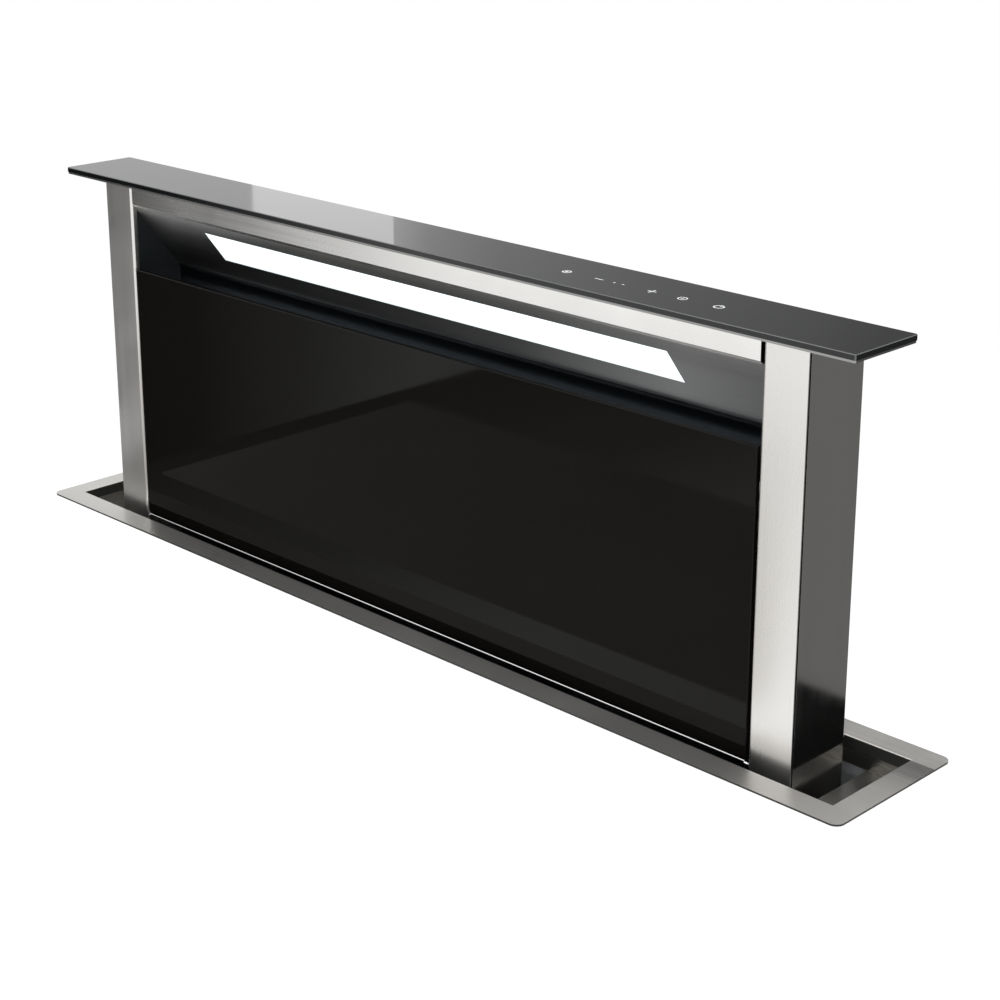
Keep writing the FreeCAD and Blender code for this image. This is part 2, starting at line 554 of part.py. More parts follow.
def blower_scroll():
    """Sheet scroll on the front panel: a wrapped strip between two side plates."""
    halves = []
    out = size("fan_x - scroll_out")
    for name, inset in (("scroll_outside", "0"), ("scroll_inside", "sheet_thick")):
        made = body(name)
        drawn = sketch(made, "Y", BLOWER_BACK, FAN)
        scroll_path(drawn, inset)
        solid = made.newObject("PartDesign::Pad", name + "_pad")
        solid.Profile = drawn
        solid.setExpression("Length", cell("scroll_deep"))
        tongue = size("fan_z + tongue_high + " + inset)
        soften(made, "tongue_round + " + inset, lambda e: along(e, "Y") and e.Vertexes[0].X > out + 1
               and abs(e.Vertexes[0].Z - tongue) < 0.01)
        halves.append(made)
    outside, inside = halves
    far = "4 * scroll_small"
    spans = {"wrap": (BLOWER_FRONT + " + sheet_thick", BLOWER_BACK + " - sheet_thick"),
             "front": (BLOWER_FRONT, BLOWER_FRONT + " + sheet_thick"),
             "rear": (BLOWER_BACK + " - sheet_thick", BLOWER_BACK)}
    slices = {}
    for name, deep in spans.items():
        room = block("scroll_room_" + name, (("fan_x - " + far, "fan_x + " + far), deep,
                                             ("fan_z - " + far, "fan_z + " + far)))
        slices[name] = doc.addObject("Part::Common", "scroll_slice_" + name)
        slices[name].Base = outside
        slices[name].Tool = room
    keep("scroll_wrap", less("scroll_wrap", slices["wrap"], inside))
    plates = []
    for name, radius in (("front", "motor_hole"), ("rear", "inlet_radius")):
        hole = body("scroll_hole_" + name)
        pad(hole, "Y", spans[name][0] + " - 1", spans[name][1] + " + 1", [("ring", "0", "0", radius)], FAN)
        plates.append(less("scroll_plate_" + name, slices[name], hole))
    made = doc.addObject("Part::Compound", "scroll_plates")
    made.Links = plates
    return keep("scroll_plates", made)


def inlet_ring():
    """Bell mouth from the housing into the wheel."""
    made = body("inlet_ring")
    rim = HOUSE_F + " + sheet_thick"
    turned(made, "Y", FAN, [("bell_out", HOUSE_F), ("bell_out", rim), ("inlet_radius", rim),
                            ("inlet_radius - bell_lead", rim + " - 0.3 * bell_lead"),
                            ("bell_throat", rim + " - 2 * bell_lead"), ("bell_throat", "bell_end"),
                            ("bell_throat + sheet_thick", "bell_end"),
                            ("bell_throat + sheet_thick", HOUSE_F + " - 1.7 * bell_lead"),
                            ("inlet_radius - tray_gap", HOUSE_F)])
    return keep("inlet_ring", made)


def impeller():
    """Forward-curved sheet wheel: disc with a hub, curved blades and an end ring."""
    disc = body("impeller_disc")
    rear = "(blade_foot - disc_thick)"
    turned(disc, "Y", FAN, [("spindle_radius", rear), ("wheel_radius", rear), ("wheel_radius", "blade_foot"),
                            ("1.5 * boss_radius", "blade_foot"),
                            ("boss_radius", "blade_foot + boss_radius / 2"),
                            ("boss_radius", "boss_head"), ("spindle_radius", "boss_head")])
    keep("impeller_disc", disc)

    blade = body("impeller_blade")
    drawn = sketch(blade, "Y", "blade_head - shroud_thick", FAN)
    middle = V(-0.8 * size("blade_curve"), size("blade_root + 0.55 * blade_curve"), 0)
    start = math.radians(-40)
    stop = math.radians(52)
    arcs = []
    for radius in (size("blade_curve"), size("blade_curve - blade_thick")):
        arcs.append(Part.ArcOfCircle(Part.Circle(middle, V(0, 0, 1), radius), start, stop))
        drawn.addGeometry(arcs[-1])
    for line in zip((arcs[0].StartPoint, arcs[0].EndPoint), (arcs[1].StartPoint, arcs[1].EndPoint)):
        drawn.addGeometry(Part.LineSegment(*line))
    for number in range(4):
        drawn.addConstraint(Sketcher.Constraint("Block", number))
    solid = blade.newObject("PartDesign::Pad", "impeller_blade_pad")
    solid.Profile = drawn
    solid.setExpression("Length", cell("blade_head - shroud_thick - blade_foot"))
    doc.recompute()
    centre = V(size("fan_x"), 0, size("fan_z"))
    row = []
    for number in range(int(size("blades"))):
        turn = FreeCAD.Placement(V(), FreeCAD.Rotation(V(0, 1, 0), number * 360.0 / size("blades")), centre)
        one = blade.Shape.copy()
        one.Placement = turn.multiply(one.Placement)
        row.append(one)
    made = doc.addObject("Part::Feature", "impeller_blades")
    made.Shape = Part.makeCompound(row)
    keep("impeller_blades", made)

    shroud = body("impeller_ring")
    pad(shroud, "Y", "blade_head - shroud_thick", "blade_head",
        [("ring", "0", "0", "wheel_radius"), ("ring", "0", "0", "blade_root + 1.5")], FAN)
    keep("impeller_ring", shroud)

    spindle = body("motor_shaft")
    pad(spindle, "Y", BLOWER_FRONT + " - motor_deep", "boss_head",
        [("ring", "0", "0", "spindle_radius")], FAN)
    return keep("motor_shaft", spindle)


def blower_motor():
    """Motor can with a stepped end, on a slotted plate over the motor hole."""
    plate = body("motor_mount")
    face = "(%s - motor_plate)" % BLOWER_FRONT
    pad(plate, "Y", face, BLOWER_FRONT,
        [("ring", "0", "0", "motor_plate_radius"), ("ring", "0", "0", "2 * spindle_radius")], FAN)
    slot = pocket(plate, "Y", face, BLOWER_FRONT,
                  [rectangle("-7", "7", "motor_radius + 1.5", "motor_hole - 1.5")], FAN)
    around(plate, slot, (slot.Profile[0], ["N_Axis"]), "6")
    keep("motor_mount", plate)
    made = body("blower_motor")
    end = "(%s - motor_deep)" % face
    bore = "spindle_radius + running_fit"
    turned(made, "Y", FAN, [(bore, face), ("motor_radius", face), ("motor_radius", end + " + fold_round"),
                            ("motor_radius - 0.3 * fold_round", end + " + 0.3 * fold_round"),
                            ("motor_radius - fold_round", end), ("motor_radius - 9", end),
                            ("motor_radius - 10", end + " - 6"), ("0", end + " - 6"), ("0", end), (bore, end)])
    return keep("blower_motor", made)


def blower_stand():
    """Two saddles on a plate that carry the scroll on the apron."""
    made = body("blower_stand")
    half = size("scroll_square / 2")
    low = size("house_floor - fan_z + stand_thick")
    reach = math.radians(33)
    left_r = size("scroll_small + scroll_square + stand_fit")
    right_r = size("scroll_small + 2 * scroll_square + stand_fit")
    lowest = V(half, -half - left_r, 0)

    def on_scroll(radius, angle, up):
        return V(half + radius * math.sin(angle), up - radius * math.cos(angle), 0)

    left = on_scroll(left_r, -reach, -half)
    right = on_scroll(right_r, 0.8 * reach, half)
    pad(made, "Z", "house_floor", "house_floor + stand_thick",
        [rectangle("fan_x + stand_shift - stand_half", "fan_x + stand_shift + stand_half",
                   "%s - stand_far" % BLOWER_BACK, "%s - stand_near" % BLOWER_BACK)])
    for back in ("%s - stand_near - 2" % BLOWER_BACK, "%s - stand_far + 6" % BLOWER_BACK):
        drawn = sketch(made, "Y", back, FAN)
        drawn.addGeometry(Part.Arc(left, on_scroll(left_r, -reach / 2, -half), lowest))
        drawn.addGeometry(Part.Arc(lowest, on_scroll(right_r, 0.4 * reach, half), right))
        corner = [right, V(right.x, low, 0), V(left.x, low, 0), left]
        for number in range(3):
            drawn.addGeometry(Part.LineSegment(corner[number], corner[number + 1]))
        for number in range(5):
            drawn.addConstraint(Sketcher.Constraint("Block", number))
        saddle = made.newObject("PartDesign::Pad", "stand_saddle")
        saddle.Profile = drawn
        saddle.setExpression("Length", cell("stand_thick"))
    return keep("blower_stand", made)


def square_to_round(mouth, span, centre, radius, steps=8):
    """A folded sheet-metal transition along X: flat sides, and each corner fanned to its quarter circle.
    Mouth is the x, and span the y and z limits, of the rectangle; centre is that of the circle."""
    (front, back), (low, high) = span
    angles = [math.radians(225 + 90 * number / steps) for number in range(4 * steps)]
    rim = [centre + V(0, radius * math.cos(a), radius * math.sin(a)) for a in angles]
    corner = [V(mouth, front, low), V(mouth, back, low), V(mouth, back, high), V(mouth, front, high)]
    sides = [corner, rim]
    for number in range(4 * steps):
        near = corner[(number + steps // 2) // steps % 4]
        sides.append([near, rim[number], rim[(number + 1) % (4 * steps)]])
    for number in range(4):
        middle = rim[number * steps + steps // 2]
        sides.append([corner[number], corner[(number + 1) % 4], middle])
    faces = [Part.Face(Part.makePolygon(points + points[:1])) for points in sides]
    return Part.Solid(Part.Shell(faces))


def outlet_spigot():
    """Sheet outlet that goes from the scroll's rectangle to a round duct collar, with a damper pin."""
    mouth = size("fan_x - scroll_out")
    taper = size("taper_end")
    end = size("duct_end")
    wall = size("duct_wall")
    radius = size("duct_radius")
    y = size("duct_y")
    z = size("duct_z")
    low = size("fan_z + tongue_high")
    high = size("fan_z + scroll_square / 2 + scroll_small + 3 * scroll_square")
    front = size(BLOWER_FRONT)
    back = size(BLOWER_BACK)
    solids = []
    for inset in (0.0, wall):
        span = ((front + inset, back - inset), (low + inset, high - inset))
        folded = square_to_round(mouth, span, V(taper, y, z), radius - inset)
        tube = Part.makeCylinder(radius - inset, taper - end, V(taper, y, z), V(-1, 0, 0))
        solids.append(folded.fuse(tube))
    shell = solids[0].cut(solids[1])
    fit = size("pin_fit")
    pin = Part.makeCylinder(size("damper_pin"), 2 * (radius - fit),
                            V(size("flap_x"), y, z - radius + fit), V(0, 0, 1))
    made = doc.addObject("Part::Feature", "outlet_spigot")
    made.Shape = shell.fuse(pin).removeSplitter()
    return keep("outlet_spigot", made)


def damper_flaps():
    """Two half-moon flaps on the damper pin; they fold together as the air leaves."""
    whole = "(flap_radius + 1)"
    for label, way, lows in (("damper_flap_front", "-", ("duct_z - 16", "duct_z + 48")),
                             ("damper_flap_rear", "+", ("duct_z - 50", "duct_z + 14"))):
        disc = doc.addObject("Part::Cylinder", label + "_disc")
        disc.setExpression("Radius", cell("flap_radius"))
        disc.setExpression("Height", cell("flap_thick"))
        disc.Placement = FreeCAD.Placement(V(), FreeCAD.Rotation(V(0, 1, 0), 90))
        seat(disc, "flap_x - flap_thick / 2", "duct_y", "duct_z")
        spans = {"-": ("duct_y - flap_gap", "duct_y + " + whole),
                 "+": ("duct_y - " + whole, "duct_y + flap_gap")}
        away = block(label + "_away", (("flap_x - 5", "flap_x + 5"), spans[way],
                                       ("duct_z - " + whole, "duct_z + " + whole)))
        pieces = [less(label + "_half", disc, away)]
        for number, low in enumerate(lows):
            sleeve = doc.addObject("Part::Cylinder", "%s_sleeve_%d" % (label, number))
            sleeve.setExpression("Radius", cell("sleeve_radius"))
            sleeve.setExpression("Height", cell("sleeve_long"))
            pieces.append(seat(sleeve, "flap_x", "duct_y", low))
            reach = sorted(("duct_y %s 1.9" % way, "duct_y %s (flap_gap + 2)" % way), key=size)
            pieces.append(block("%s_tab_%d" % (label, number),
                                (("flap_x - flap_thick / 2", "flap_x + flap_thick / 2"), reach,
                                 (low, low + " + sleeve_long"))))
        bore = doc.addObject("Part::Cylinder", label + "_bore")
        bore.setExpression("Radius", cell("damper_pin + running_fit"))
        bore.setExpression("Height", cell("2 * flap_radius"))
        seat(bore, "flap_x", "duct_y", "duct_z - flap_radius")
        keep(label, less(label, fuse(label + "_joined", pieces), bore))


# ---- control box and limit switches ----

def control_box():
    """Sheet box for the electronics with a lid and a cable gland."""
    made = body("control_box")
    outer = rectangle("box_left", "box_right", "box_foot", "box_head")
    inner = rectangle("box_left + sheet_thick", "box_right - sheet_thick",
                      "box_foot + sheet_thick", "box_head - sheet_thick")
    pad(made, "Y", "box_front", BLOWER_BACK, [outer])
    pocket(made, "Y", "box_front", BLOWER_BACK + " - sheet_thick", [inner])
    pocket(made, "Z", "box_foot", "box_foot + sheet_thick",
           [("ring", "gland_x", "gland_y", "gland_radius - 3")])
    keep("control_box", made)
    lid = body("control_box_lid")
    pad(lid, "Y", "box_front - lid_thick", "box_front", [outer])
    pocket(lid, "Y", "box_front - lid_thick", "box_front",
           [rectangle("box_left + 30", "box_left + 33", "box_head - 60 + %d" % z, "box_head - 24 + %d" % z)
            for z in (0, -60)])
    keep("control_box_lid", lid)
    gland = body("cable_gland")
    top = "(box_foot + sheet_thick + gland_nut)"
    turned(gland, "Z", ("gland_x", "gland_y"), [
        ("gland_bore", "box_foot - gland_long"), ("gland_radius - 3.5", "box_foot - gland_long"),
        ("gland_radius - 1", "box_foot - gland_long + 5"), ("gland_radius - 1", "box_foot - 6"),
        ("gland_radius", "box_foot - 6"), ("gland_radius", "box_foot"), ("gland_radius - 3", "box_foot"),
        ("gland_radius - 3", "box_foot + sheet_thick"), ("gland_radius", "box_foot + sheet_thick"),
        ("gland_radius", top), ("gland_bore", top)])
    return keep("cable_gland", gland)


def limit_switches():
    """Two micro switches on the rear panel that the striker presses at the ends of the lift."""
    striker_top = "(tower_foot + striker_thick)"
    solids = []
    for name, body_low, pin_low in (
            ("upper", striker_top + " + plunger + 0.3", striker_top + " + 0.3"),
            ("lower", "(tower_foot - travel - plunger - switch_tall - 0.3)",
             "(tower_foot - travel - plunger - 0.3)")):
        case = block("switch_case_" + name, (("switch_left", "switch_right"), ("switch_front", HOUSE_B),
                                             (body_low, body_low + " + switch_tall")))
        pin = block("switch_pin_" + name, (("(switch_left + switch_right) / 2 - 1.5",
                                            "(switch_left + switch_right) / 2 + 1.5"),
                                           ("switch_front + 1.5", "switch_front + 4.5"),
                                           (pin_low, pin_low + " + plunger")))
        solids.append(fuse("switch_" + name, [case, pin]))
    made = doc.addObject("Part::Compound", "limit_switches")
    made.Links = solids
    keep("limit_switches", made)
    tab = body("switch_striker")
    mid = "(switch_left + switch_right) / 2"
    angle = [("tower_back", "tower_foot"), ("striker_back", "tower_foot"), ("striker_back", striker_top),
             ("tower_back + striker_wall", striker_top),
             ("tower_back + striker_wall", "tower_foot + striker_tall"),
             ("tower_back", "tower_foot + striker_tall")]
    pad(tab, "X", mid + " - striker_wide / 2", mid + " + striker_wide / 2", [angle])
    return keep("switch_striker", tab)


# ---- tower frame ----

def columns():
    """Front columns: a thin brushed skin with a return beside the glass and a neck in the groove."""
    made = body("column_front_right")
    back = "tower_front + skin"
    neck_in = "(%s - sheet_thick - skin)" % SIDE_X
    neck_out = "(%s - sheet_thick)" % SIDE_X
    outline = [("column_in", "tower_front"), (SIDE_X, "tower_front"), (SIDE_X, back), (neck_out, back),
               (neck_out, "tower_front + neck_deep"), (neck_in, "tower_front + neck_deep"),
               (neck_in, back), ("column_in + skin", back),
               ("column_in + skin", "tower_front + column_return"),
               ("column_in", "tower_front + column_return")]
    pad(made, "Z", "tower_foot", "tower_top", [outline])
    front = size("tower_front")
    inner = size("column_in")
    soften(made, "column_round", lambda e: along(e, "Z") and abs(e.Vertexes[0].Y - front) < 0.01
           and abs(e.Vertexes[0].X - inner) < 0.01)
    soften(made, "column_round - skin", lambda e: along(e, "Z") and
           abs(e.Vertexes[0].Y - size("tower_front + skin")) < 0.01 and
           abs(e.Vertexes[0].X - size("column_in + skin")) < 0.01)
    pocket(made, "X", "column_in", "column_in + 2 * column_round",
           [("ring", "pivot_y", "pivot_z", "pivot_radius + running_fit")])
    handed("column_front", made)


def side_panels():
    """Outer side sheets with a fold for the rear panel and a hole for the shaft bush."""
    made = body("side_panel_right")
    face = "(%s - sheet_thick)" % SIDE_X
    front = "tower_front + skin + shadow_groove"
    fold = "(%s - rear_fold)" % face
    outline = [(SIDE_X, front), (SIDE_X, "tower_back"), (fold, "tower_back"),
               (fold, "tower_back - sheet_thick"), (face, "tower_back - sheet_thick"), (face, front)]
    pad(made, "Z", "tower_foot", "tower_top", [outline])
    back = size("tower_back")
    soften(made, "tray_gap + skin", lambda e: along(e, "Z") and abs(e.Vertexes[0].Y - back) < 0.01
           and abs(e.Vertexes[0].X - size(SIDE_X)) < 0.01)
    pocket(made, "X", face, SIDE_X, [("ring", "shaft_y", "shaft_z", "bush_radius")])
    handed("side_panel", made)


def tower_sheets():
    """Rear panel, duct cheeks, the wall behind the air path, the apron and the foot beam."""
    rear = body("tower_rear_panel")
    edge = "(%s - sheet_thick)" % SIDE_X
    pad(rear, "Y", REAR_Y, REAR_Y + " + sheet_thick",
        [rectangle("-" + edge, edge, "tower_foot", "tower_top")])
    keep("tower_rear_panel", rear)

    cheek = body("duct_cheek")
    pad(cheek, "X", "column_in", "column_in + sheet_thick",
        [rectangle("tower_front + column_return", REAR_Y, "plenum_foot", "tower_top")])
    pair("duct_cheeks", cheek)

    wall = body("plenum_wall")
    pad(wall, "Y", "fold_y + sheet_thick", "fold_y + 2 * sheet_thick",
        [rectangle("-column_in", "column_in", "plenum_foot", "plenum_top")])
    keep("plenum_wall", wall)

    apron = body("tower_apron")
    pad(apron, "Y", "tower_front + skin", "tower_front + skin + sheet_thick",
        [rectangle("-column_in - skin", "column_in + skin", "tower_foot", "apron_top")])
    pocket(apron, "Y", "tower_front + skin", "tower_front + skin + sheet_thick",
           [rectangle("-column_in - skin", "-column_in + apron_edge", "tower_foot", "apron_top"),
            rectangle("column_in - apron_edge", "column_in + skin", "tower_foot", "apron_top")])
    keep("tower_apron", apron)

    beam = body("foot_beam")
    foot = "(tower_foot - beam_thick)"
    pad(beam, "Z", foot, "tower_foot", [rectangle("-" + SIDE_X, SIDE_X, "tower_front", "tower_back")])
    near = "window_mid / 2"
    far = "window_mid / 2 + window_wide + window_bar"
    starts = (near, far, "-(%s) - window_wide" % near, "-(%s) - window_wide" % far)
    pocket(beam, "Z", foot, "tower_foot",
           [rectangle(x, x + " + window_wide", "window_front", "window_back") for x in starts])
    pad(beam, "Z", foot + " - beam_lip", foot,
        [rectangle("-%s + 2 * beam_lip" % SIDE_X, "%s - 2 * beam_lip" % SIDE_X, "tower_front",
                   "tower_front + beam_thick")])
    keep("foot_beam", beam)


FOLD_Z = "(rail_fold_z - (fold_y - rail_fold_y) * tan(soffit_angle))"
LAMP = ("lamp_y", "(rail_fold_z - (lamp_y - rail_fold_y) * tan(soffit_angle))")
TURN = "(-soffit_angle)"


def slope_block(name, half_x, half_slope, low, high):
    """A box on the slope of the soffit, centred on the lamp."""
    return block(name, (("-(%s)" % half_x, half_x), ("-(%s)" % half_slope, half_slope), (low, high)),
                 TURN, LAMP)


def intake():
    """Head rail above the intake, the sloping soffit behind it and the lamp in the soffit."""
    rail = body("top_rail")
    lid_foot = "tower_top - sheet_thick"
    front = "tower_front + sheet_thick"
    outline = [("tower_front", "rail_foot"), ("tower_front", "tower_top"), (REAR_Y, "tower_top"),
               (REAR_Y, lid_foot), (front, lid_foot), (front, "rail_foot + 0.4"),
               ("rail_fold_y + 0.9", "rail_fold_z + 0.8"), ("rail_fold_y", "rail_fold_z")]
    pad(rail, "X", "-rail_half", "rail_half", [outline])
    for side in ("", "-"):
        tab = rectangle(side + "(rail_half - 1)", side + "column_in", "tower_front + column_return", REAR_Y)
        pad(rail, "Z", lid_foot, "tower_top", [tab])
    window = rectangle("touch_left - touch_fit", "touch_right + touch_fit",
                       "touch_front - touch_fit", "touch_back + touch_fit")
    pocket(rail, "Z", lid_foot, "tower_top", [window])
    keep("top_rail", rail)

    soffit = body("intake_soffit_sheet")
    lift_y = "rail_fold_y + sheet_thick * sin(soffit_angle)"
    lift_z = "rail_fold_z + sheet_thick * cos(soffit_angle)"
    behind = "%s + sheet_thick * (1 / cos(soffit_angle) - tan(soffit_angle))" % FOLD_Z
    outline = [("rail_fold_y", "rail_fold_z"), ("fold_y", FOLD_Z), ("fold_y", "wall_foot"),
               ("fold_y + sheet_thick", "wall_foot"), ("fold_y + sheet_thick", behind), (lift_y, lift_z)]
    pad(soffit, "X", "-column_in", "column_in", [outline])
    fold = size(FOLD_Z)
    soften(soffit, "fold_round", lambda e: along(e, "X") and abs(e.Vertexes[0].Z - fold) < 0.01)
    soften(soffit, "fold_round + sheet_thick", lambda e: along(e, "X") and
           abs(e.Vertexes[0].Z - size(behind)) < 0.01)
    hole = slope_block("lamp_opening", "lamp_half + lamp_fit", "lamp_half_slope + lamp_fit",
                       "-2", "sheet_thick + 1")
    keep("intake_soffit", less("intake_soffit", soffit, hole))

    tile = slope_block("lamp_tile", "lamp_half", "lamp_half_slope", "0", "sheet_thick")
    rim = slope_block("lamp_rim_plate", "lamp_half + lamp_rim", "lamp_half_slope + 3",
                      "sheet_thick", "sheet_thick + lamp_rim_thick")
    keep("lamp_diffuser", fuse("lamp_diffuser", [tile, rim]))
    can = slope_block("lamp_can", "lamp_half + lamp_can_rim", "lamp_half_slope + 5",
                      "sheet_thick", "sheet_thick + lamp_can_deep")
    room = slope_block("lamp_room", "lamp_half + lamp_can_rim - 1", "lamp_half_slope + 4",
                       "sheet_thick - 1", "sheet_thick + lamp_can_deep - 1")
    keep("lamp_housing", less("lamp_housing", can, room))


def cap():
    """Cap that closes the well when the tower is down: glass on a thin steel tray."""
    tray_foot = "tower_top"
    glass_foot = "cap_glass_foot"
    tray = body("cap_tray")
    pad(tray, "Z", tray_foot, glass_foot,
        [rectangle("-cap_wide / 2 + tray_inset", "cap_wide / 2 - tray_inset",
                   "cap_front + tray_inset", "cap_back - tray_inset")])
    window = rectangle("touch_left - touch_fit", "touch_right + touch_fit",
                       "touch_front - touch_fit", "touch_back + touch_fit")
    pocket(tray, "Z", tray_foot, glass_foot, [window])
    soften(tray, "cap_corner", lambda e: along(e, "Z") and abs(e.Vertexes[0].X) > size("cap_wide / 2 - 1"))
    keep("cap_tray", tray)

    glass = body("cap_glass")
    pad(glass, "Z", glass_foot, "cap_top",
        [rectangle("-cap_wide / 2", "cap_wide / 2", "cap_front", "cap_back")])
    soften(glass, "cap_corner", lambda e: along(e, "Z"))
    top = size("cap_top")
    soften(glass, "arris", lambda e: abs(e.BoundBox.ZMin - top) < 0.01, "Chamfer")
    keep("cap_glass", glass)

    touch = body("touch_module")
    pad(touch, "Z", "touch_foot + plug_tall", glass_foot,
        [rectangle("touch_left", "touch_right", "touch_front", "touch_back")])
    pad(touch, "Z", "touch_foot", "touch_foot + plug_tall",
        [rectangle("touch_left + plug_inset", "touch_left + plug_inset + plug_wide",
                   "touch_front + plug_inset / 2", "touch_front + plug_inset / 2 + plug_deep")])
    keep("touch_module", touch)


# ---- hinged glass front ----

def glass_front():
    """Glass panel on a folded backing, with a pivot bar along its foot and strike blocks."""
    glass = body("front_glass")
    back = "tower_front + glass_thick"
    pad(glass, "Y", "tower_front", back, [rectangle("-glass_half", "glass_half", "glass_foot", "glass_top")])
    front = size("tower_front")
    soften(glass, "arris", lambda e: abs(e.BoundBox.YMax - front) < 0.01, "Chamfer")
    keep("front_glass", glass)

    backing = body("panel_backing")
    end = back + " + backing_deep"
    pad(backing, "Y", back, end,
        [rectangle("-backing_half", "backing_half", "backing_foot", "backing_top")])
    inner = rectangle("-backing_half + sheet_thick", "backing_half - sheet_thick",
                      "backing_foot + sheet_thick", "backing_top - sheet_thick")
    drawn = draw(sketch(backing, "Y", end), [inner])
    dish = backing.newObject("PartDesign::Pocket", "backing_dish")
    dish.Profile = drawn
    dish.Reversed = True
    dish.setExpression("Length", cell("backing_deep - sheet_thick"))
    keep("panel_backing", backing)

    bar = body("panel_pivot_bar")
    bar_top = "glass_foot - bar_gap"
    profile = rectangle("tower_front", "tower_front + bar_deep", "bar_foot", bar_top)
    pad(bar, "X", "-glass_half + bar_end", "glass_half - bar_end", [profile])
    soften(bar, "bar_round", lambda e: along(e, "X"))
    pad(bar, "X", "-column_in - pivot_long", "column_in + pivot_long",
        [("ring", "pivot_y", "pivot_z", "pivot_radius")])
    for side in ("", "-"):
        lug = rectangle(side + "lug_near", side + "(lug_near + lug_wide)", back, back + " + lug_thick")
        pad(bar, "Z", "bar_foot + bar_round + 0.3", "backing_foot", [lug])
    keep("panel_pivot_bar", bar)

    strike = body("strike_block")
    head = "backing_top - catch_drop"
    floor = back + " + sheet_thick"
    pad(strike, "Y", floor, floor + " + strike_deep + strike_edge - tray_gap",
        [rectangle("backing_half - catch_wide", "backing_half - sheet_thick",
                   head + " - catch_tall + strike_edge", head + " - strike_edge")])
    pair("strike_blocks", strike)
    catch = body("panel_catch")
    front = floor + " + strike_deep + strike_edge - tray_gap + catch_gap"
    pad(catch, "Y", front, front + " + catch_deep",
        [rectangle("backing_half - catch_wide", "column_in", head + " - catch_tall", head)])
    pair("panel_catches", catch)


# ---- grease filters ----

def filters():
    """Two pleated metal filters that lean in the air path, and the strips that hold them."""
    for label, near, far in (("grease_filter", "filter_half_gap", "filter_out"),):
        made = body(label)
        window = rectangle(near + " + filter_rim", far + " - filter_rim",
                           "filter_rim", "filter_tall - filter_rim")
        pad(made, "Y", "0", "filter_thick", [rectangle(near, far, "0", "filter_tall"), window])
        count = int((size("filter_tall - 2 * filter_rim") - 1) // size("pleat"))
        low = "(filter_rim - 0.5)"
        front = []
        back = []
        for number in range(count + 1):
            deep = "pleat_front" if number % 2 else "pleat_back"
            high = "%s + %d * (filter_tall - 2 * filter_rim + 1) / %d" % (low, number, count)
            front.append((deep, high))
            back.append((deep + " + pleat_sheet", high))
        pad(made, "X", near + " + filter_rim - 1", far + " - filter_rim + 1", [front + back[::-1]])
        made.Placement = FreeCAD.Placement(V(), FreeCAD.Rotation(V(1, 0, 0), -size("filter_lean")))
        seat(made, "0", "filter_y", "filter_z", "-filter_lean")
        pair("grease_filters", made)
    strips = []
    for name, low, front in (("foot", "-rail_thick", "-2"), ("head", "filter_tall", "-1")):
        spans = (("-column_in", "column_in"), (front, "filter_thick"), (low, low + " + rail_thick"))
        strips.append(block("filter_strip_" + name, spans, "(-filter_lean)", ("filter_y", "filter_z")))
    made = doc.addObject("Part::Compound", "filter_rails")
    made.Links = strips
    keep("filter_rails", made)


# ---- lift drive ----

def involute_tooth(teeth, module, angle, slack):
    """Face of one spur tooth on the Y side of the centre, in the YZ plane."""
    pitch = teeth * module / 2
    base = pitch * math.cos(angle)
    tip = pitch + module
    root = pitch - 1.25 * module
    half = math.pi / (2 * teeth) - slack / (2 * pitch) + math.tan(angle) - angle
    flank = []
    for step in range(5):
        radius = base + (tip - base) * step / 4
        roll = math.sqrt(max((radius / base) ** 2 - 1, 0))
        turn = half - (roll - math.atan(roll))
        flank.append(V(0, radius * math.cos(turn), radius * math.sin(turn)))
    other = [V(0, p.y, -p.z) for p in flank]
    sink = root - 1.0
    foot = V(0, sink * math.cos(half), sink * math.sin(half))
    curve = Part.Arc(flank[0], flank[2], flank[4])
    twin = Part.Arc(other[0], other[2], other[4])
    crest = Part.Arc(flank[-1], V(0, tip, 0), other[-1])
    edges = [Part.LineSegment(foot, flank[0]).toShape(), curve.toShape(), crest.toShape(),
             twin.toShape(), Part.LineSegment(other[0], V(0, foot.y, -foot.z)).toShape(),
             Part.LineSegment(V(0, foot.y, -foot.z), foot).toShape()]
    return Part.Face(Part.Wire(Part.__sortEdges__(edges)))


def lift_pinions():
    """Pinions on the shaft ends, one tooth of each standing in the rack."""
    teeth = int(size("pinion_teeth"))
    module = size("tooth_module")
    slack = size("backlash")
    face = involute_tooth(teeth, module, math.radians(size("pressure_angle")), slack)
    wide = size("rack_out - rack_in")
    near = size("rack_in")
    hub_end = size(SIDE_X + " + plate_thick + bush_rim_thick + tray_gap")
    root = PITCH - 1.25 * module
    blank = Part.makeCylinder(root, wide, V(near, 0, 0), V(1, 0, 0))
    hub = Part.makeCylinder(size("hub_radius"), near - hub_end + 1, V(hub_end, 0, 0), V(1, 0, 0))
    cogs = []
    for number in range(teeth):
        tooth = face.extrude(V(wide, 0, 0))
        tooth.translate(V(near, 0, 0))
        tooth.rotate(V(0, 0, 0), V(1, 0, 0), number * 360.0 / teeth)
        cogs.append(tooth)
    wheel = blank.multiFuse([hub] + cogs)
    bore = Part.makeCylinder(size("shaft_radius"), 2 * wide + 20, V(hub_end - 5, 0, 0), V(1, 0, 0))
    wheel = wheel.cut(bore)
    wheel = wheel.removeSplitter()
    wheel.translate(V(0, size("shaft_y"), size("shaft_z")))
    made = doc.addObject("Part::Feature", "lift_pinion")
    made.Shape = wheel.Solids[0] if wheel.ShapeType == "Compound" else wheel
    return pair("lift_pinions", made)


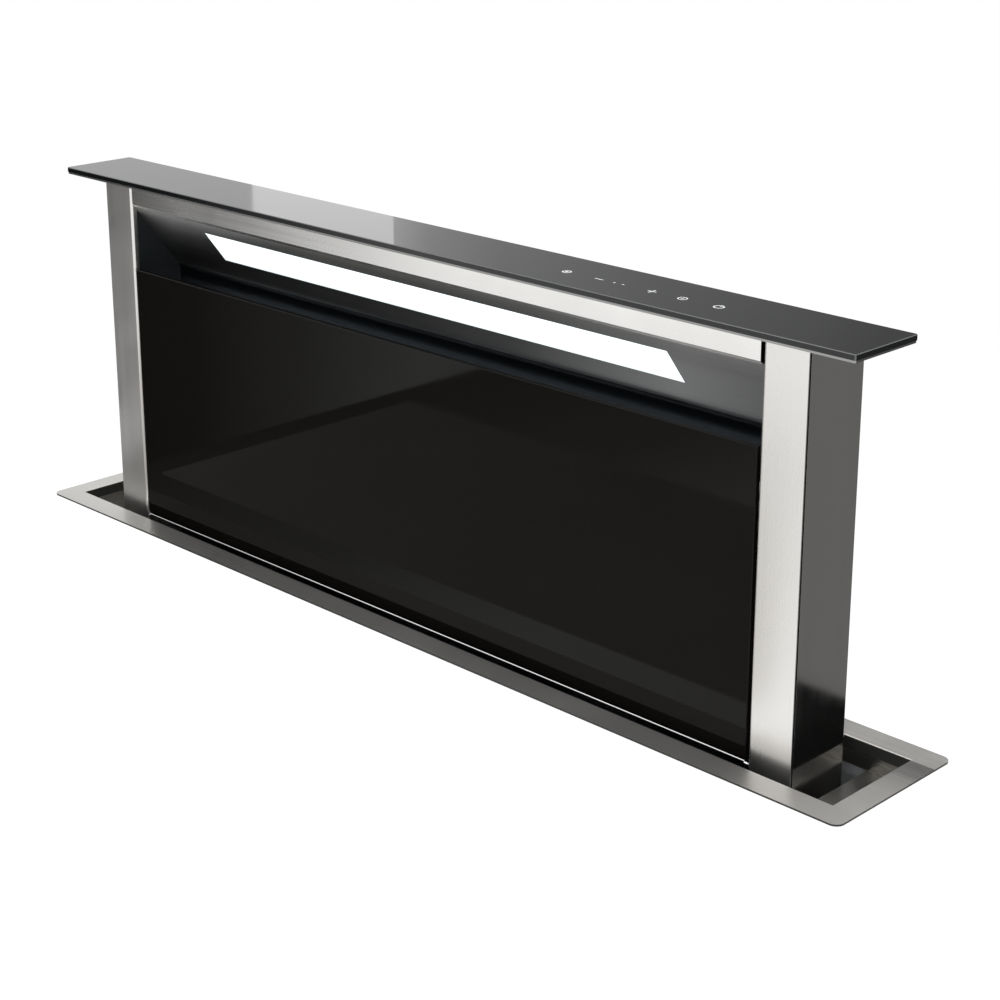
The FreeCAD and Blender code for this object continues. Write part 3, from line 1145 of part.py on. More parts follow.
def lift_drive():
    """Shaft across the tower, its bushes, the worm gearbox and its motor."""
    shaft = body("sync_shaft")
    pad(shaft, "X", "-shaft_half", "shaft_half", [("ring", "shaft_y", "shaft_z", "shaft_radius")])
    keep("sync_shaft", shaft)

    bush = body("shaft_bush")
    bore = ("ring", "shaft_y", "shaft_z", "shaft_radius + running_fit")
    plate = "(%s + plate_thick)" % SIDE_X
    pad(bush, "X", SIDE_X + " - bush_long", plate, [("ring", "shaft_y", "shaft_z", "bush_radius"), bore])
    pad(bush, "X", plate, plate + " + bush_rim_thick",
        [("ring", "shaft_y", "shaft_z", "bush_radius + bush_rim"), bore])
    pair("shaft_bushes", bush)

    box = body("lift_gearbox")
    pad(box, "X", "gearbox_left", "gearbox_right",
        [rectangle("gearbox_front", REAR_Y, "tower_foot", "gearbox_head")])
    soften(box, "gearbox_round", lambda e: along(e, "X") and e.Vertexes[0].Z > size("gearbox_head") - 0.01)
    ends = ("gearbox_left - gearbox_boss", "gearbox_right + gearbox_boss")
    pad(box, "X", *ends, [("ring", "shaft_y", "shaft_z", "bush_radius + 2")])
    pocket(box, "X", *ends, [bore])
    keep("lift_gearbox", box)

    motor = body("lift_motor")
    place = ("lift_motor_x", "lift_motor_y")
    turned(motor, "Z", place, [
        ("0", "gearbox_head"), ("lift_motor_radius", "gearbox_head"),
        ("lift_motor_radius", "lift_motor_head - 3"), ("lift_motor_radius - 3", "lift_motor_head"),
        ("7", "lift_motor_head"), ("7", "lift_motor_head + 4"), ("0", "lift_motor_head + 4")])
    keep("lift_motor", motor)


def carriages():
    """Side plates with arms out to the shoes, and the shoes in the guide rails."""
    made = body("carriage")
    out = "(%s + plate_thick)" % SIDE_X
    pad(made, "X", SIDE_X, out,
        [rectangle("plate_front", "plate_back", "tower_foot", "shelf_lip - plate_drop")])
    mid = "(guide_front + guide_back) / 2"
    for low in ("shoe_high", "shoe_low"):
        pad(made, "X", out, "arm_end",
            [rectangle(mid + " - arm_thick / 2", mid + " + arm_thick / 2", low, low + " + shoe_tall")])
    pocket(made, "X", SIDE_X, out, [("ring", "shaft_y", "shaft_z", "bush_radius")])
    pair("carriages", made)

    shoes = []
    back = "(%s - guide_wall - shoe_fit)" % HOUSE_X
    neck = "guide_in + guide_wall + shoe_fit"
    outline = [("arm_end", "mouth_front + shoe_fit"), (neck, "mouth_front + shoe_fit"),
               (neck, "guide_front + guide_wall + shoe_fit"), (back, "guide_front + guide_wall + shoe_fit"),
               (back, "guide_back - guide_wall - shoe_fit"), (neck, "guide_back - guide_wall - shoe_fit"),
               (neck, "mouth_back - shoe_fit"), ("arm_end", "mouth_back - shoe_fit")]
    for name, low in (("high", "shoe_high"), ("low", "shoe_low")):
        shoe = body("guide_shoe_" + name)
        pad(shoe, "Z", low, low + " + shoe_tall", [outline])
        shoes += [shoe, mirrored("guide_shoe_%s_other" % name, shoe)]
    made = doc.addObject("Part::Compound", "guide_shoes")
    made.Links = shoes
    keep("guide_shoes", made)


for build in (worktop_flange, flange_seal, recess_tray, housing, levelling_feet, mounting_brackets,
              guide_rails, lift_racks, blower_scroll, inlet_ring, impeller, blower_motor, blower_stand,
              outlet_spigot, damper_flaps, control_box, limit_switches, columns, side_panels,
              tower_sheets, intake, cap, glass_front, filters, lift_pinions, lift_drive, carriages):
    build()
doc.recompute()

for made in doc.Objects:
    faults = [state for state in made.State if state in ("Invalid", "Error")]
    if faults:
        raise RuntimeError("%s is %s" % (made.Name, faults))

os.makedirs("parts", exist_ok=True)
for label, made in KEPT:
    if made.Shape.isNull() or not made.Shape.isValid():
        raise RuntimeError(label + " has no valid shape")
    made.Shape.exportStep("parts/%s.step" % label)
    box = made.Shape.BoundBox
    print("%-22s %d solids  X %.1f %.1f  Y %.1f %.1f  Z %.1f %.1f" % (
        label, len(made.Shape.Solids), box.XMin, box.XMax, box.YMin, box.YMax, box.ZMin, box.ZMax))
print(len(KEPT), "pieces")
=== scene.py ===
import bpy
import json
import math
from mathutils import Matrix, Vector

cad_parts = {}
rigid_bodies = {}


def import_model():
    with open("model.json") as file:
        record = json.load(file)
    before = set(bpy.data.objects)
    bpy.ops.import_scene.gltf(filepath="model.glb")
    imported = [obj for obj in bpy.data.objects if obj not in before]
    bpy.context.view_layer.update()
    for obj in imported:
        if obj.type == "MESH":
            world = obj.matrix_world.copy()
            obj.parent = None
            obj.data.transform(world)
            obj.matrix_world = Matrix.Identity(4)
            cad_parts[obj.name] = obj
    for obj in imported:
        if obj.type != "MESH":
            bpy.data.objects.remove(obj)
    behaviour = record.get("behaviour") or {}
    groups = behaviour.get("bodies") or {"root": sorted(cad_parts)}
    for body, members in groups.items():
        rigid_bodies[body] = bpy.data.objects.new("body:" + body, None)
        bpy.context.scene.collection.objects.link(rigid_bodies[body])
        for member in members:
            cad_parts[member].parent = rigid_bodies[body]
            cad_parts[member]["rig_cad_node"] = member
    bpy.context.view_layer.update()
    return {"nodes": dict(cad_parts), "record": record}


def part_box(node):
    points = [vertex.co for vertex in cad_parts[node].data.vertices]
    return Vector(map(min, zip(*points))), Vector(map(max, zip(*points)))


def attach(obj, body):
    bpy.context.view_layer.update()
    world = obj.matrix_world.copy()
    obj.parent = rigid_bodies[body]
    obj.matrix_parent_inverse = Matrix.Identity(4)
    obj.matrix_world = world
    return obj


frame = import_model()
NODES = frame["nodes"]
SLOT_OF = {part["node"]: part["material_slot"] for part in frame["record"]["subparts"]}

# ---- places taken from the frame, as (low corner, high corner) ----

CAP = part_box("cap_glass")
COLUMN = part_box("column_front_right")
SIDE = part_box("side_panel_right")
HOUSE_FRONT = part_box("housing_front_panel")
HOUSE_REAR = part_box("housing_rear_panel")
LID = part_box("control_box_lid")
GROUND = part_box("levelling_feet")[0].z

# ---- sizes of what is printed, rounded and screwed on ----

FOLD_TOP = 0.2215            # top of the rolled fold at the foot of the soffit, where the painted shade below it starts
GROOVE_INSET = 0.010         # the painted shade on the neck of a front column starts this far in from its inner edge
GROOVE_DEEP = 0.0010         # and this far behind its front
EDGE_ROUND = 0.00025         # rounding of the sheet edges
TOUCH_ROW = -0.0125          # row of touch marks on the cap, and their places along it
TOUCH_LAMP, TOUCH_LESS, TOUCH_MORE, TOUCH_TIMER, TOUCH_POWER = 0.1523, 0.1827, 0.2308, 0.2577, 0.2887
TOUCH_DOTS = (0.1967, 0.2048)

SCREW_RADIUS = 0.0036
SCREW_TALL = 0.0014
SCREW_DOME = 0.0008
CROSS_HALF_LONG = 0.0019
CROSS_HALF_WIDE = 0.0004
CROSS_FLOOR = 0.0006
CROSS_TOP = 0.003
SCREW_TURN_FIRST = 23.0      # the recesses stand as the screwdriver left them
SCREW_TURN_STEP = 37.0
FOLD_SCREW_INSET = 0.0082    # screw row on the rear folds of the tower's sides
HOUSE_SCREW_INSET = 0.007    # screw rows on the housing and in the lid's corners
ROW_FOOT = 0.03
TOWER_ROW_HEAD = 0.03
HOUSE_ROW_HEAD = 0.04

# ---- sizes of the stage ----

WORKTOP_LOW = (-0.452, -0.62, -0.030)
WORKTOP_HIGH = (0.78, 0.075, 0.0)
CUT_OUT_LOW = (-0.427, -0.0503, -0.05)
CUT_OUT_HIGH = (0.427, 0.051, 0.02)
FLOOR_WIDE = 80.0
FLOOR_GAP = 0.0005
PATCH_LOW = (-0.413, -0.418, 0.0005)
PATCH_HIGH = (0.46, -0.100, 0.0025)
PATCH_RIGHT = (0.335, -0.05, 0.75)    # x and y where its right side starts, and how far it slants
EYE = (1.115, -1.046, 0.652)
EYE_DOWN = 17.39                      # degrees below the level
EYE_TURN = 44.87
LENS = 74.66
SENSOR = 36.0
LENS_SHIFT = -0.10
HIDDEN_FROM = ("camera", "shadow", "diffuse", "transmission", "volume_scatter")


# ---- shader node helpers ----

def add_node(tree, kind, **values):
    made = tree.nodes.new(kind)
    for name, value in values.items():
        if hasattr(made, name):
            setattr(made, name, value)
        else:
            made.inputs[name.replace("_", " ")].default_value = value
    return made


def link(tree, source, target):
    tree.links.new(source, target)


def new_group(name, inputs, outputs):
    """An empty node group with named sockets; each is a (name, kind, default) line."""
    tree = bpy.data.node_groups.new(name, "ShaderNodeTree")
    for label, kind, default in inputs:
        socket = tree.interface.new_socket(label, in_out="INPUT", socket_type="NodeSocket" + kind)
        socket.default_value = default
    for label, kind in outputs:
        tree.interface.new_socket(label, in_out="OUTPUT", socket_type="NodeSocket" + kind)
    return tree, tree.nodes.new("NodeGroupInput"), tree.nodes.new("NodeGroupOutput")


def calc(tree, operation, first, second=0.0):
    """One Math node; each side is a socket or a number."""
    made = add_node(tree, "ShaderNodeMath", operation=operation)
    for number, value in enumerate((first, second)):
        if isinstance(value, (int, float)):
            made.inputs[number].default_value = value
        else:
            link(tree, value, made.inputs[number])
    return made.outputs[0]


def away(tree, value, middle=0.0):
    """How far a value is from a middle, either way."""
    return calc(tree, "ABSOLUTE", calc(tree, "SUBTRACT", value, middle))


def coordinate(tree, kind):
    """The x, y and z of the point or of its normal, in the object's own metres."""
    place = add_node(tree, "ShaderNodeTexCoord")
    split = add_node(tree, "ShaderNodeSeparateXYZ")
    link(tree, place.outputs[kind], split.inputs[0])
    return split.outputs


def remap(tree, source, low, high, start=0.0, end=1.0):
    """The source value, start to end, spread between low and high."""
    made = add_node(tree, "ShaderNodeMapRange", clamp=True)
    for label, value in (("From Min", start), ("From Max", end), ("To Min", low), ("To Max", high)):
        made.inputs[label].default_value = value
    link(tree, source, made.inputs["Value"])
    return made.outputs["Result"]


def blend(tree, factor, first, second):
    """A colour between two, by a mask; each of the two is a colour or a socket."""
    made = add_node(tree, "ShaderNodeMix", data_type="RGBA")
    link(tree, factor, made.inputs[0])
    for number, colour in ((6, first), (7, second)):
        if isinstance(colour, bpy.types.NodeSocket):
            link(tree, colour, made.inputs[number])
        else:
            made.inputs[number].default_value = (*colour, 1.0)
    return made.outputs[2]


def bump(tree, shader, height, strength, distance):
    made = add_node(tree, "ShaderNodeBump", Strength=strength, Distance=distance)
    link(tree, height, made.inputs["Height"])
    link(tree, made.outputs["Normal"], shader.inputs["Normal"])


# ---- effects that the finishes share ----

def noise_on_object(tree, outside, label, size, **values):
    """A noise on the object's own coordinates, put out of the group under this name."""
    place = add_node(tree, "ShaderNodeTexCoord")
    noise = add_node(tree, "ShaderNodeTexNoise", **values)
    link(tree, place.outputs["Object"], noise.inputs["Vector"])
    link(tree, size, noise.inputs["Scale"])
    link(tree, noise.outputs["Fac"], outside.inputs[label])


def brushed_grain():
    """Long fine scratches from a brush, and slower bands of light and dark along them."""
    tree, inside, outside = new_group(
        "Brushed grain", [("Stretch", "Vector", (3.0, 900.0, 900.0)), ("Bands", "Vector", (0.6, 14.0, 14.0))],
        [("Scratches", "Float"), ("Bands", "Float")])
    place = add_node(tree, "ShaderNodeTexCoord")
    for number, label in enumerate(("Stretch", "Bands")):
        scaled = add_node(tree, "ShaderNodeVectorMath", operation="MULTIPLY")
        link(tree, place.outputs["Object"], scaled.inputs[0])
        link(tree, inside.outputs[label], scaled.inputs[1])
        noise = add_node(tree, "ShaderNodeTexNoise", Scale=1.0, Detail=2.0, Roughness=0.6)
        link(tree, scaled.outputs[0], noise.inputs["Vector"])
        link(tree, noise.outputs["Fac"], outside.inputs[number])
    return tree


def handling_marks():
    """Faint smears and finger marks, as a value round a half."""
    tree, inside, outside = new_group("Handling marks", [("Size", "Float", 9.0)], [("Marks", "Float")])
    noise_on_object(tree, outside, "Marks", inside.outputs["Size"],
                    Detail=4.0, Roughness=0.55, Distortion=0.4)
    return tree


def fine_texture():
    """Small even grain of a casting, a moulding or a lacquer."""
    tree, inside, outside = new_group("Fine texture", [("Size", "Float", 900.0)], [("Grain", "Float")])
    noise_on_object(tree, outside, "Grain", inside.outputs["Size"], Detail=3.0, Roughness=0.6)
    return tree


def zinc_spangle():
    """Crystal flakes of hot-dip zinc."""
    tree, inside, outside = new_group("Zinc spangle", [("Size", "Float", 60.0)], [("Flakes", "Float")])
    place = add_node(tree, "ShaderNodeTexCoord")
    cells = add_node(tree, "ShaderNodeTexVoronoi", Randomness=1.0)
    link(tree, place.outputs["Object"], cells.inputs["Vector"])
    link(tree, inside.outputs["Size"], cells.inputs["Scale"])
    flat = add_node(tree, "ShaderNodeSeparateColor")
    link(tree, cells.outputs["Color"], flat.inputs[0])
    link(tree, flat.outputs[0], outside.inputs["Flakes"])
    return tree


def touch_marks():
    """Printed touch marks on the cap: rings, short bars and dots in a row, all without words."""
    tree, inside, outside = new_group("Touch marks", [("Top", "Float", 0.3)], [("Mask", "Float")])
    x, y, z = coordinate(tree, "Object")
    shapes = []

    def ring(at, radius, wide):
        across = calc(tree, "SUBTRACT", x, at)
        along = calc(tree, "SUBTRACT", y, TOUCH_ROW)
        square = calc(tree, "ADD", calc(tree, "MULTIPLY", across, across),
                      calc(tree, "MULTIPLY", along, along))
        off = away(tree, calc(tree, "SQRT", square), radius)
        shapes.append(calc(tree, "LESS_THAN", off, wide))

    def dot(at, radius):
        ring(at, 0.0, radius)

    def bar(at, half_long, half_wide, lift=0.0):
        across = calc(tree, "LESS_THAN", away(tree, x, at), half_long)
        along = calc(tree, "LESS_THAN", away(tree, y, TOUCH_ROW + lift), half_wide)
        shapes.append(calc(tree, "MINIMUM", across, along))

    ring(TOUCH_LAMP, 0.0030, 0.0006)
    dot(TOUCH_LAMP, 0.0014)
    bar(TOUCH_LESS, 0.0038, 0.0006)
    for at in TOUCH_DOTS:
        dot(at, 0.0009)
    bar(TOUCH_MORE, 0.0038, 0.0006)
    bar(TOUCH_MORE, 0.0006, 0.0038)
    ring(TOUCH_TIMER, 0.0032, 0.0005)
    bar(TOUCH_TIMER, 0.0005, 0.0020)
    ring(TOUCH_POWER, 0.0034, 0.0006)
    bar(TOUCH_POWER, 0.0006, 0.0016, 0.0030)
    mask = shapes[0]
    for shape in shapes[1:]:
        mask = calc(tree, "MAXIMUM", mask, shape)
    on_top = calc(tree, "GREATER_THAN", z, inside.outputs["Top"])
    link(tree, calc(tree, "MULTIPLY", mask, on_top), outside.inputs["Mask"])
    return tree


def ground_edge():
    """The chamfer round a glass: one where the surface leans between its top and its sides."""
    tree, inside, outside = new_group("Ground edge", [("Steep", "Float", 0.92)], [("Mask", "Float")])
    x, y, z = coordinate(tree, "Normal")
    most = away(tree, x)
    for part in (y, z):
        most = calc(tree, "MAXIMUM", most, away(tree, part))
    link(tree, calc(tree, "LESS_THAN", most, inside.outputs["Steep"]), outside.inputs["Mask"])
    return tree


GROUPS = {made.name: made for made in (brushed_grain(), handling_marks(), fine_texture(), zinc_spangle(),
                                       touch_marks(), ground_edge())}


def use_group(tree, name, **values):
    made = tree.nodes.new("ShaderNodeGroup")
    made.node_tree = GROUPS[name]
    for label, value in values.items():
        made.inputs[label].default_value = value
    return made


# ---- finishes ----

def principled(name, **values):
    """A new material with a Principled shader set to these values."""
    made = bpy.data.materials.new(name)
    made.use_nodes = True
    tree = made.node_tree
    tree.nodes.clear()
    shader = add_node(tree, "ShaderNodeBsdfPrincipled")
    for label, value in values.items():
        shader.inputs[label.replace("_", " ")].default_value = value
    out = add_node(tree, "ShaderNodeOutputMaterial")
    link(tree, shader.outputs[0], out.inputs["Surface"])
    return made, tree, shader


def node_of(made, kind):
    return [part for part in made.node_tree.nodes if part.type == kind][0]


def brushed_metal(name, dark, light, rough, along, depth=0.12, metallic=1.0):
    """Brushed sheet: colour bands, streaked roughness and fine scratches along one axis."""
    made, tree, shader = principled(name, Metallic=metallic)
    stretch = [900.0] * 3
    bands = [16.0] * 3
    stretch["XYZ".index(along)] = 4.0
    bands["XYZ".index(along)] = 0.8
    grain = use_group(tree, "Brushed grain", Stretch=stretch, Bands=bands)
    marks = use_group(tree, "Handling marks", Size=7.0)
    tone = calc(tree, "ADD", remap(tree, grain.outputs["Bands"], 0.0, 0.5, 0.3, 0.7),
                remap(tree, grain.outputs["Scratches"], 0.0, 0.5, 0.25, 0.75))
    link(tree, blend(tree, tone, dark, light), shader.inputs["Base Color"])
    dull = calc(tree, "ADD", remap(tree, grain.outputs["Scratches"], -0.03, 0.03, 0.3, 0.7),
                remap(tree, marks.outputs["Marks"], rough - 0.04, rough + 0.05, 0.35, 0.65))
    link(tree, dull, shader.inputs["Roughness"])
    bump(tree, shader, grain.outputs["Scratches"], depth, 0.0002)
    return made


def plain_metal(name, dark, light, rough, size=700.0):
    """Bare or plated metal with a fine surface and patches worn brighter."""
    made, tree, shader = principled(name, Metallic=1.0)
    grain = use_group(tree, "Fine texture", Size=size)
    marks = use_group(tree, "Handling marks", Size=14.0)
    link(tree, blend(tree, marks.outputs["Marks"], dark, light), shader.inputs["Base Color"])
    link(tree, remap(tree, marks.outputs["Marks"], rough - 0.07, rough + 0.08, 0.3, 0.7),
         shader.inputs["Roughness"])
    bump(tree, shader, grain.outputs["Grain"], 0.12, 0.0002)
    return made


def galvanised(name):
    """Zinc-coated sheet: flakes of two greys, each with its own shine."""
    made, tree, shader = principled(name, Metallic=0.9)
    flakes = use_group(tree, "Zinc spangle", Size=70.0)
    marks = use_group(tree, "Handling marks", Size=8.0)
    link(tree, blend(tree, flakes.outputs["Flakes"], (0.50, 0.52, 0.54), (0.64, 0.66, 0.68)),
         shader.inputs["Base Color"])
    link(tree, remap(tree, flakes.outputs["Flakes"], 0.36, 0.52), shader.inputs["Roughness"])
    bump(tree, shader, marks.outputs["Marks"], 0.06, 0.001)
    return made


def moulded(name, dark, light, rough, size=1100.0, depth=0.15):
    """Plastic, rubber or lacquer: near-even colour, fine grain and worn patches."""
    made, tree, shader = principled(name)
    grain = use_group(tree, "Fine texture", Size=size)
    marks = use_group(tree, "Handling marks", Size=12.0)
    link(tree, blend(tree, marks.outputs["Marks"], dark, light), shader.inputs["Base Color"])
    link(tree, remap(tree, marks.outputs["Marks"], rough - 0.08, rough + 0.08, 0.3, 0.7),
         shader.inputs["Roughness"])
    bump(tree, shader, grain.outputs["Grain"], depth, 0.0003)
    return made


def black_glass(name, shine, tint=(0.004, 0.0045, 0.005)):
    """Polished glass printed black behind, with faint smears."""
    made, tree, shader = principled(name)
    shader.inputs["Specular IOR Level"].default_value = shine
    marks = use_group(tree, "Handling marks", Size=5.0)
    fine = use_group(tree, "Fine texture", Size=240.0)
    link(tree, blend(tree, marks.outputs["Marks"], tint, [1.5 * part for part in tint]),
         shader.inputs["Base Color"])
    link(tree, remap(tree, marks.outputs["Marks"], 0.02, 0.07, 0.35, 0.7), shader.inputs["Roughness"])
    bump(tree, shader, fine.outputs["Grain"], 0.01, 0.0001)
    return made


def lamp_lens(name):
    """Opal strip, lit from behind, with a fine grain in its glow."""
    made, tree, shader = principled(name, Roughness=0.45)
    grain = use_group(tree, "Fine texture", Size=500.0)
    link(tree, blend(tree, grain.outputs["Grain"], (0.86, 0.90, 0.92), (0.95, 0.97, 0.98)),
         shader.inputs["Base Color"])
    link(tree, blend(tree, grain.outputs["Grain"], (0.80, 0.90, 0.92), (0.86, 0.95, 0.97)),
         shader.inputs["Emission Color"])
    shader.inputs["Emission Strength"].default_value = 0.9
    bump(tree, shader, grain.outputs["Grain"], 0.1, 0.0002)
    return made


# The finish of each material slot of the frame, where NODE_FINISH names no other.
FINISH = {
    "bright_trim": plain_metal("bright_trim", (0.80, 0.80, 0.81), (0.88, 0.88, 0.89), 0.12),
    "well_steel": brushed_metal("well_steel", (0.20, 0.195, 0.185), (0.30, 0.29, 0.275), 0.30, "X"),
    "galvanised_sheet": galvanised("galvanised_sheet"),
    "dark_lacquer": moulded("dark_lacquer", (0.010, 0.012, 0.013), (0.018, 0.021, 0.023), 0.34),
    "rear_steel": brushed_metal("rear_steel", (0.50, 0.50, 0.49), (0.62, 0.62, 0.61), 0.36, "Z"),
    "frame_steel": plain_metal("frame_steel", (0.42, 0.44, 0.46), (0.54, 0.56, 0.58), 0.42),
    "extrusion": brushed_metal("extrusion", (0.68, 0.69, 0.70), (0.78, 0.79, 0.80), 0.34, "Z"),
    "filter_metal": plain_metal("filter_metal", (0.60, 0.61, 0.62), (0.74, 0.75, 0.76), 0.36, 1600.0),
    "lamp_can": plain_metal("lamp_can", (0.62, 0.63, 0.64), (0.74, 0.75, 0.76), 0.38),
    "lamp_lens": lamp_lens("lamp_lens"),
    "gear_steel": plain_metal("gear_steel", (0.40, 0.40, 0.41), (0.54, 0.54, 0.55), 0.34),
    "gear_polymer": moulded("gear_polymer", (0.74, 0.73, 0.68), (0.84, 0.83, 0.78), 0.45),
    "bush_bronze": plain_metal("bush_bronze", (0.52, 0.36, 0.18), (0.68, 0.50, 0.28), 0.38),
    "gearbox_casting": plain_metal("gearbox_casting", (0.46, 0.47, 0.48), (0.60, 0.61, 0.62), 0.50, 420.0),
    "motor_shell": moulded("motor_shell", (0.05, 0.053, 0.056), (0.10, 0.105, 0.11), 0.38),
    "fan_moulding": moulded("fan_moulding", (0.07, 0.073, 0.077), (0.12, 0.125, 0.13), 0.46),
    "black_moulding": moulded("black_moulding", (0.03, 0.03, 0.032), (0.055, 0.055, 0.058), 0.50),
    "foot_rubber": moulded("foot_rubber", (0.035, 0.035, 0.035), (0.06, 0.06, 0.06), 0.75),
    "seal_foam": moulded("seal_foam", (0.05, 0.05, 0.05), (0.09, 0.09, 0.09), 0.85, 500.0, 0.4),
    "black_glass": black_glass("black_glass", 0.13, (0.0050, 0.0045, 0.0038)),
}
CAP_BLACK = black_glass("cap_black", 0.5)
# Lit and shaded copies of one brushed stainless. Each part's colour is set lighter or darker to stand for the
# light it gets: painted light on the columns and rail, painted shade on the sides, cap tray, flange and
# soffit.
UPRIGHT_LIT_TONE = brushed_metal("brushed_upright_lit_tone", (0.82, 0.805, 0.78), (0.89, 0.875, 0.85), 0.30, "Z", 0.06)
SIDES_SHADED_TONE = brushed_metal("brushed_sides_shaded_tone", (0.74, 0.725, 0.70), (0.80, 0.785, 0.76), 0.15, "Z", 0.04)
RAIL_LIT_TONE = brushed_metal("brushed_rail_lit_tone", (0.82, 0.81, 0.79), (0.94, 0.93, 0.91), 0.22, "X", 0.07)
TRAY_SHADED_TONE = brushed_metal("brushed_tray_shaded_tone", (0.30, 0.30, 0.30), (0.40, 0.40, 0.39), 0.30, "X", 0.05)
FRAME_SHADED_TONE = brushed_metal("brushed_frame_shaded_tone", (0.49, 0.48, 0.46), (0.59, 0.575, 0.55), 0.32, "X", 0.08, 0.82)
SLOPE_SHADED_TONE = brushed_metal("brushed_slope_shaded_tone", (0.30, 0.305, 0.305), (0.40, 0.405, 0.405), 0.34, "X", 0.10)
NODE_FINISH = {
    "cap_glass": CAP_BLACK,
    "column_front_right": UPRIGHT_LIT_TONE,
    "column_front_left": UPRIGHT_LIT_TONE,
    "side_panel_right": SIDES_SHADED_TONE,
    "side_panel_left": SIDES_SHADED_TONE,
    "intake_soffit": SLOPE_SHADED_TONE,
    "top_rail": RAIL_LIT_TONE,
    "cap_tray": TRAY_SHADED_TONE,
    "worktop_flange": FRAME_SHADED_TONE,
}


# ---- what is painted over the finishes, by place: painted shade, a ground edge and print ----

def groove_painted_shade_mask(tree):
    """The neck of a front column, down in the shadow groove beside it, painted near-black as painted shade
    for the groove.
    """
    x, y, z = coordinate(tree, "Object")
    outer = calc(tree, "GREATER_THAN", away(tree, x), COLUMN[0].x + GROOVE_INSET)
    behind = calc(tree, "GREATER_THAN", y, COLUMN[0].y + GROOVE_DEEP)
    return calc(tree, "MULTIPLY", outer, behind)


def fold_painted_shade_mask(tree):
    """The rolled fold at the foot of the soffit and the wall under it, darkened with painted shade at the
    back of the intake recess.
    """
    x, y, z = coordinate(tree, "Object")
    return calc(tree, "LESS_THAN", z, FOLD_TOP)


def flange_side_painted_shade_mask(tree):
    """The upright faces of the worktop flange, its outer edge and the lip down into the well, darkened with
    painted shade.
    """
    x, y, z = coordinate(tree, "Normal")
    return calc(tree, "LESS_THAN", away(tree, z), 0.75)


def chamfer_mask(tree):
    return use_group(tree, "Ground edge").outputs["Mask"]


def print_mask(tree):
    return use_group(tree, "Touch marks", Top=CAP[1].z - 0.0002).outputs["Mask"]


def paint(made, mask, colour, rough):
    """Paints over the finished colour and roughness where the mask is one."""
    tree = made.node_tree
    shader = node_of(made, "BSDF_PRINCIPLED")
    where = mask(tree)
    under = shader.inputs["Base Color"].links[0].from_socket
    link(tree, blend(tree, where, under, colour), shader.inputs["Base Color"])
    below = shader.inputs["Roughness"].links[0].from_socket
    mixed = add_node(tree, "ShaderNodeMix", data_type="FLOAT")
    link(tree, where, mixed.inputs[0])
    link(tree, below, mixed.inputs[2])
    mixed.inputs[3].default_value = rough
    link(tree, mixed.outputs[0], shader.inputs["Roughness"])


def paint_by_place():
    # painted shade: dark grey on the flange's upright faces, its outer edge and the lip into the well
    paint(FRAME_SHADED_TONE, flange_side_painted_shade_mask, (0.05, 0.05, 0.048), 0.5)
    # painted shade: near-black on the column necks, where the groove beside them is in shadow
    paint(UPRIGHT_LIT_TONE, groove_painted_shade_mask, (0.004, 0.004, 0.004), 0.7)
    # painted shade: dark blue-grey over the soffit's fold and the wall under it, at the back of the recess
    paint(SLOPE_SHADED_TONE, fold_painted_shade_mask, (0.045, 0.052, 0.058), 0.30)
    paint(CAP_BLACK, chamfer_mask, (0.12, 0.125, 0.12), 0.4)
    paint(CAP_BLACK, print_mask, (0.78, 0.78, 0.78), 0.4)


# ---- the CAD nodes ----

KEPT_SHARP = ("cap_glass", "front_glass", "lamp_diffuser", "impeller_blades", "lift_racks", "lift_pinions")


def dress(node):
    """Gives a CAD node its finish and a small rounded edge."""
    name = node["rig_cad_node"]
    node.data.materials.clear()
    node.data.materials.append(NODE_FINISH.get(name) or FINISH[SLOT_OF[name]])
    if name in KEPT_SHARP:
        return
    rounded = node.modifiers.new("edge", "BEVEL")
    rounded.width = EDGE_ROUND
    rounded.segments = 2
    rounded.limit_method = "ANGLE"
    rounded.angle_limit = math.radians(40)
    rounded.harden_normals = False


# ---- mesh helpers ----

def only(*pieces):
    """Selects just these pieces; the first one is the active one."""
    bpy.ops.object.select_all(action="DESELECT")
    for piece in pieces:
        piece.select_set(True)
    bpy.context.view_layer.objects.active = pieces[0]


def slab(name, low, high):
    """A box between two corners."""
    bpy.ops.object.select_all(action="DESELECT")
    bpy.ops.mesh.primitive_cube_add(size=1.0)
    made = bpy.context.object
    made.name = name
    made.scale = [b - a for a, b in zip(low, high)]
    made.location = [(a + b) / 2 for a, b in zip(low, high)]
    bpy.ops.object.transform_apply(location=True, rotation=True, scale=True)
    return made


def cut_away(piece, tool):
    """Cuts the tool's shape out of the piece and removes the tool."""
    cut = piece.modifiers.new("cut", "BOOLEAN")
    cut.operation = "DIFFERENCE"
    cut.object = tool
    cut.solver = "EXACT"
    only(piece)
    bpy.ops.object.modifier_apply(modifier="cut")
    bpy.data.objects.remove(tool)


def wear(piece, finish):
    piece.data.materials.clear()
    piece.data.materials.append(finish)


# ---- screws ----

